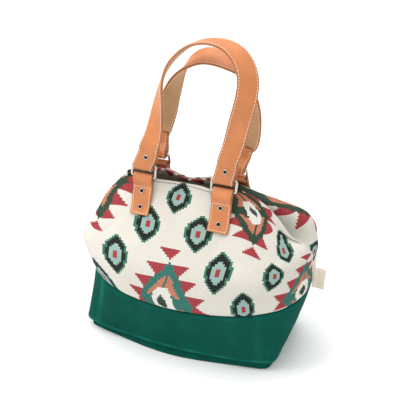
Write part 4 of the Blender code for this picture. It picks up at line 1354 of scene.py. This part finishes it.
class MakeRings(bpy.types.Operator):
    """The four nickel rings"""

    bl_idname = "tote.make_rings"
    bl_label = "Rings"

    def execute(self, context):
        for back, place_name, x in all_tabs():
            make_ring("ring_" + place_name, x, back, context.scene.tote_trim)
        return {"FINISHED"}


class MakeRivets(bpy.types.Operator):
    """Two hollow rivets on each tab and one on each foot of the handles"""

    bl_idname = "tote.make_rivets"
    bl_label = "Rivets"

    def execute(self, context):
        trim = context.scene.tote_trim
        for back, place_name, x in all_tabs():
            for end, down in (("upper", TAB_RIVET_UPPER), ("lower", TAB_RIVET_LOWER)):
                seat, normal = tab_rivet_seat(x, down, back)
                make_rivet(f"tab_rivet_{place_name}_{end}", seat, normal, trim)
            _, left, right = handle_rows(back)
            out, up = left if place_name.endswith("left") else right
            _, _, high = ring_frame(x, back)
            seat = high + out * (foot_radius() + STRAP_WALL / 2) + up * HANDLE_RIVET_UP
            seat[0] += sway(seat[2] - high[2], FOOT_SWAY[back][place_name.endswith("right")])
            make_rivet(f"handle_rivet_{place_name}", seat, out, trim)
        return {"FINISHED"}


class MakeHandles(bpy.types.Operator):
    """The two stitched leather handles"""

    bl_idname = "tote.make_handles"
    bl_label = "Leather handles"

    def execute(self, context):
        make_handle("handle_front", False, context.scene.tote_trim)
        make_handle("handle_back", True, context.scene.tote_trim)
        return {"FINISHED"}


class MakeStage(bpy.types.Operator):
    """Pale floor, soft light and the camera"""

    bl_idname = "tote.make_stage"
    bl_label = "Stage"

    def execute(self, context):
        props = context.scene.tote_stage
        mesh = bpy.data.meshes.new("floor")
        corners = [(x * FLOOR_REACH, y * FLOOR_REACH, FLOOR_Z) for x, y in ((-1, -1), (1, -1), (1, 1), (-1, 1))]
        mesh.from_pydata(corners, [], [(0, 1, 2, 3)])
        floor = bpy.data.objects.new("floor", mesh)
        context.scene.collection.objects.link(floor)
        surface, _, shader = new_material("painted_floor", Roughness=0.7)
        shader.inputs["Base Color"].default_value = (*props.floor_colour, 1)
        mesh.materials.append(surface)
        world = bpy.data.worlds.new("studio")
        world.use_nodes = True
        sky = world.node_tree.nodes["Background"]
        sky.inputs["Color"].default_value = (1, 1, 1, 1)
        sky.inputs["Strength"].default_value = props.sky_strength
        context.scene.world = world
        for name, power, size, spot in (
            ("key_light", props.key_power, 0.9, (-1.1, -0.5, 1.5)),
            ("top_light", props.key_power * 1.3, 1.4, (-0.1, 0.25, 1.7)),
        ):
            light = bpy.data.lights.new(name, "AREA")
            light.energy = power
            light.size = size
            lamp = bpy.data.objects.new(name, light)
            context.scene.collection.objects.link(lamp)
            back = unit(np.array(spot) - np.array([0, 0, 0.15]))
            right = unit(np.cross([0, 0, 1.0], back))
            lamp.matrix_world = frame_matrix(right, np.cross(back, right), back, np.array(spot))
        yaw, rise, roll = props.camera_yaw, props.camera_rise, props.camera_roll
        back = np.array([sin(yaw) * cos(rise), -cos(yaw) * cos(rise), sin(rise)])
        right = np.array([cos(yaw), sin(yaw), 0])
        up = np.cross(back, right)
        target = np.array(CAMERA_TARGET) + PLAN_SHIFT
        lens = bpy.data.cameras.new("camera")
        lens.sensor_width = SENSOR_WIDTH
        lens.lens = SENSOR_WIDTH * CAMERA_FOCUS
        lens.clip_end = 50
        camera = bpy.data.objects.new("camera", lens)
        context.scene.collection.objects.link(camera)
        r, u = cos(roll) * right + sin(roll) * up, cos(roll) * up - sin(roll) * right
        camera.matrix_world = frame_matrix(r, u, back, target + back * props.camera_distance)
        context.scene.camera = camera
        context.scene.view_settings.view_transform = "Standard"
        return {"FINISHED"}


def frame_matrix(right, up, back, at):
    """An object's matrix from its three axes and its place."""
    return Matrix([*np.stack([right, up, back, at], -1).tolist(), (0, 0, 0, 1)])


class TotePanel(bpy.types.Panel):
    """Lists the tote's pieces"""

    bl_idname = "VIEW3D_PT_tote"
    bl_label = "Tote"
    bl_space_type = "VIEW_3D"
    bl_region_type = "UI"
    bl_category = "Tote"

    def draw(self, context):
        for maker in MAKERS:
            self.layout.operator(maker.bl_idname)
        for group in (context.scene.tote_body, context.scene.tote_trim, context.scene.tote_stage):
            for key in group.__annotations__:
                self.layout.prop(group, key)


MAKERS = (MakeStage, MakeBase, MakePanels, MakeHems, MakeLabel, MakeTabs, MakeRings, MakeRivets, MakeHandles)
GROUPS = (("tote_body", ToteBody), ("tote_trim", ToteTrim), ("tote_stage", ToteStage))


def register():
    """Adds the classes and the settings on the scene."""
    for name, group in GROUPS:
        bpy.utils.register_class(group)
        setattr(bpy.types.Scene, name, bpy.props.PointerProperty(type=group))
    for maker in (*MAKERS, TotePanel):
        bpy.utils.register_class(maker)


def unregister():
    """Takes the classes and the settings away."""
    for maker in (TotePanel, *MAKERS[::-1]):
        bpy.utils.unregister_class(maker)
    for name, group in GROUPS[::-1]:
        delattr(bpy.types.Scene, name)
        bpy.utils.unregister_class(group)


def main():
    """Builds every piece."""
    register()
    for maker in MAKERS:
        group, name = maker.bl_idname.split(".")
        getattr(getattr(bpy.ops, group), name)()


if __name__ == "__main__":
    main()
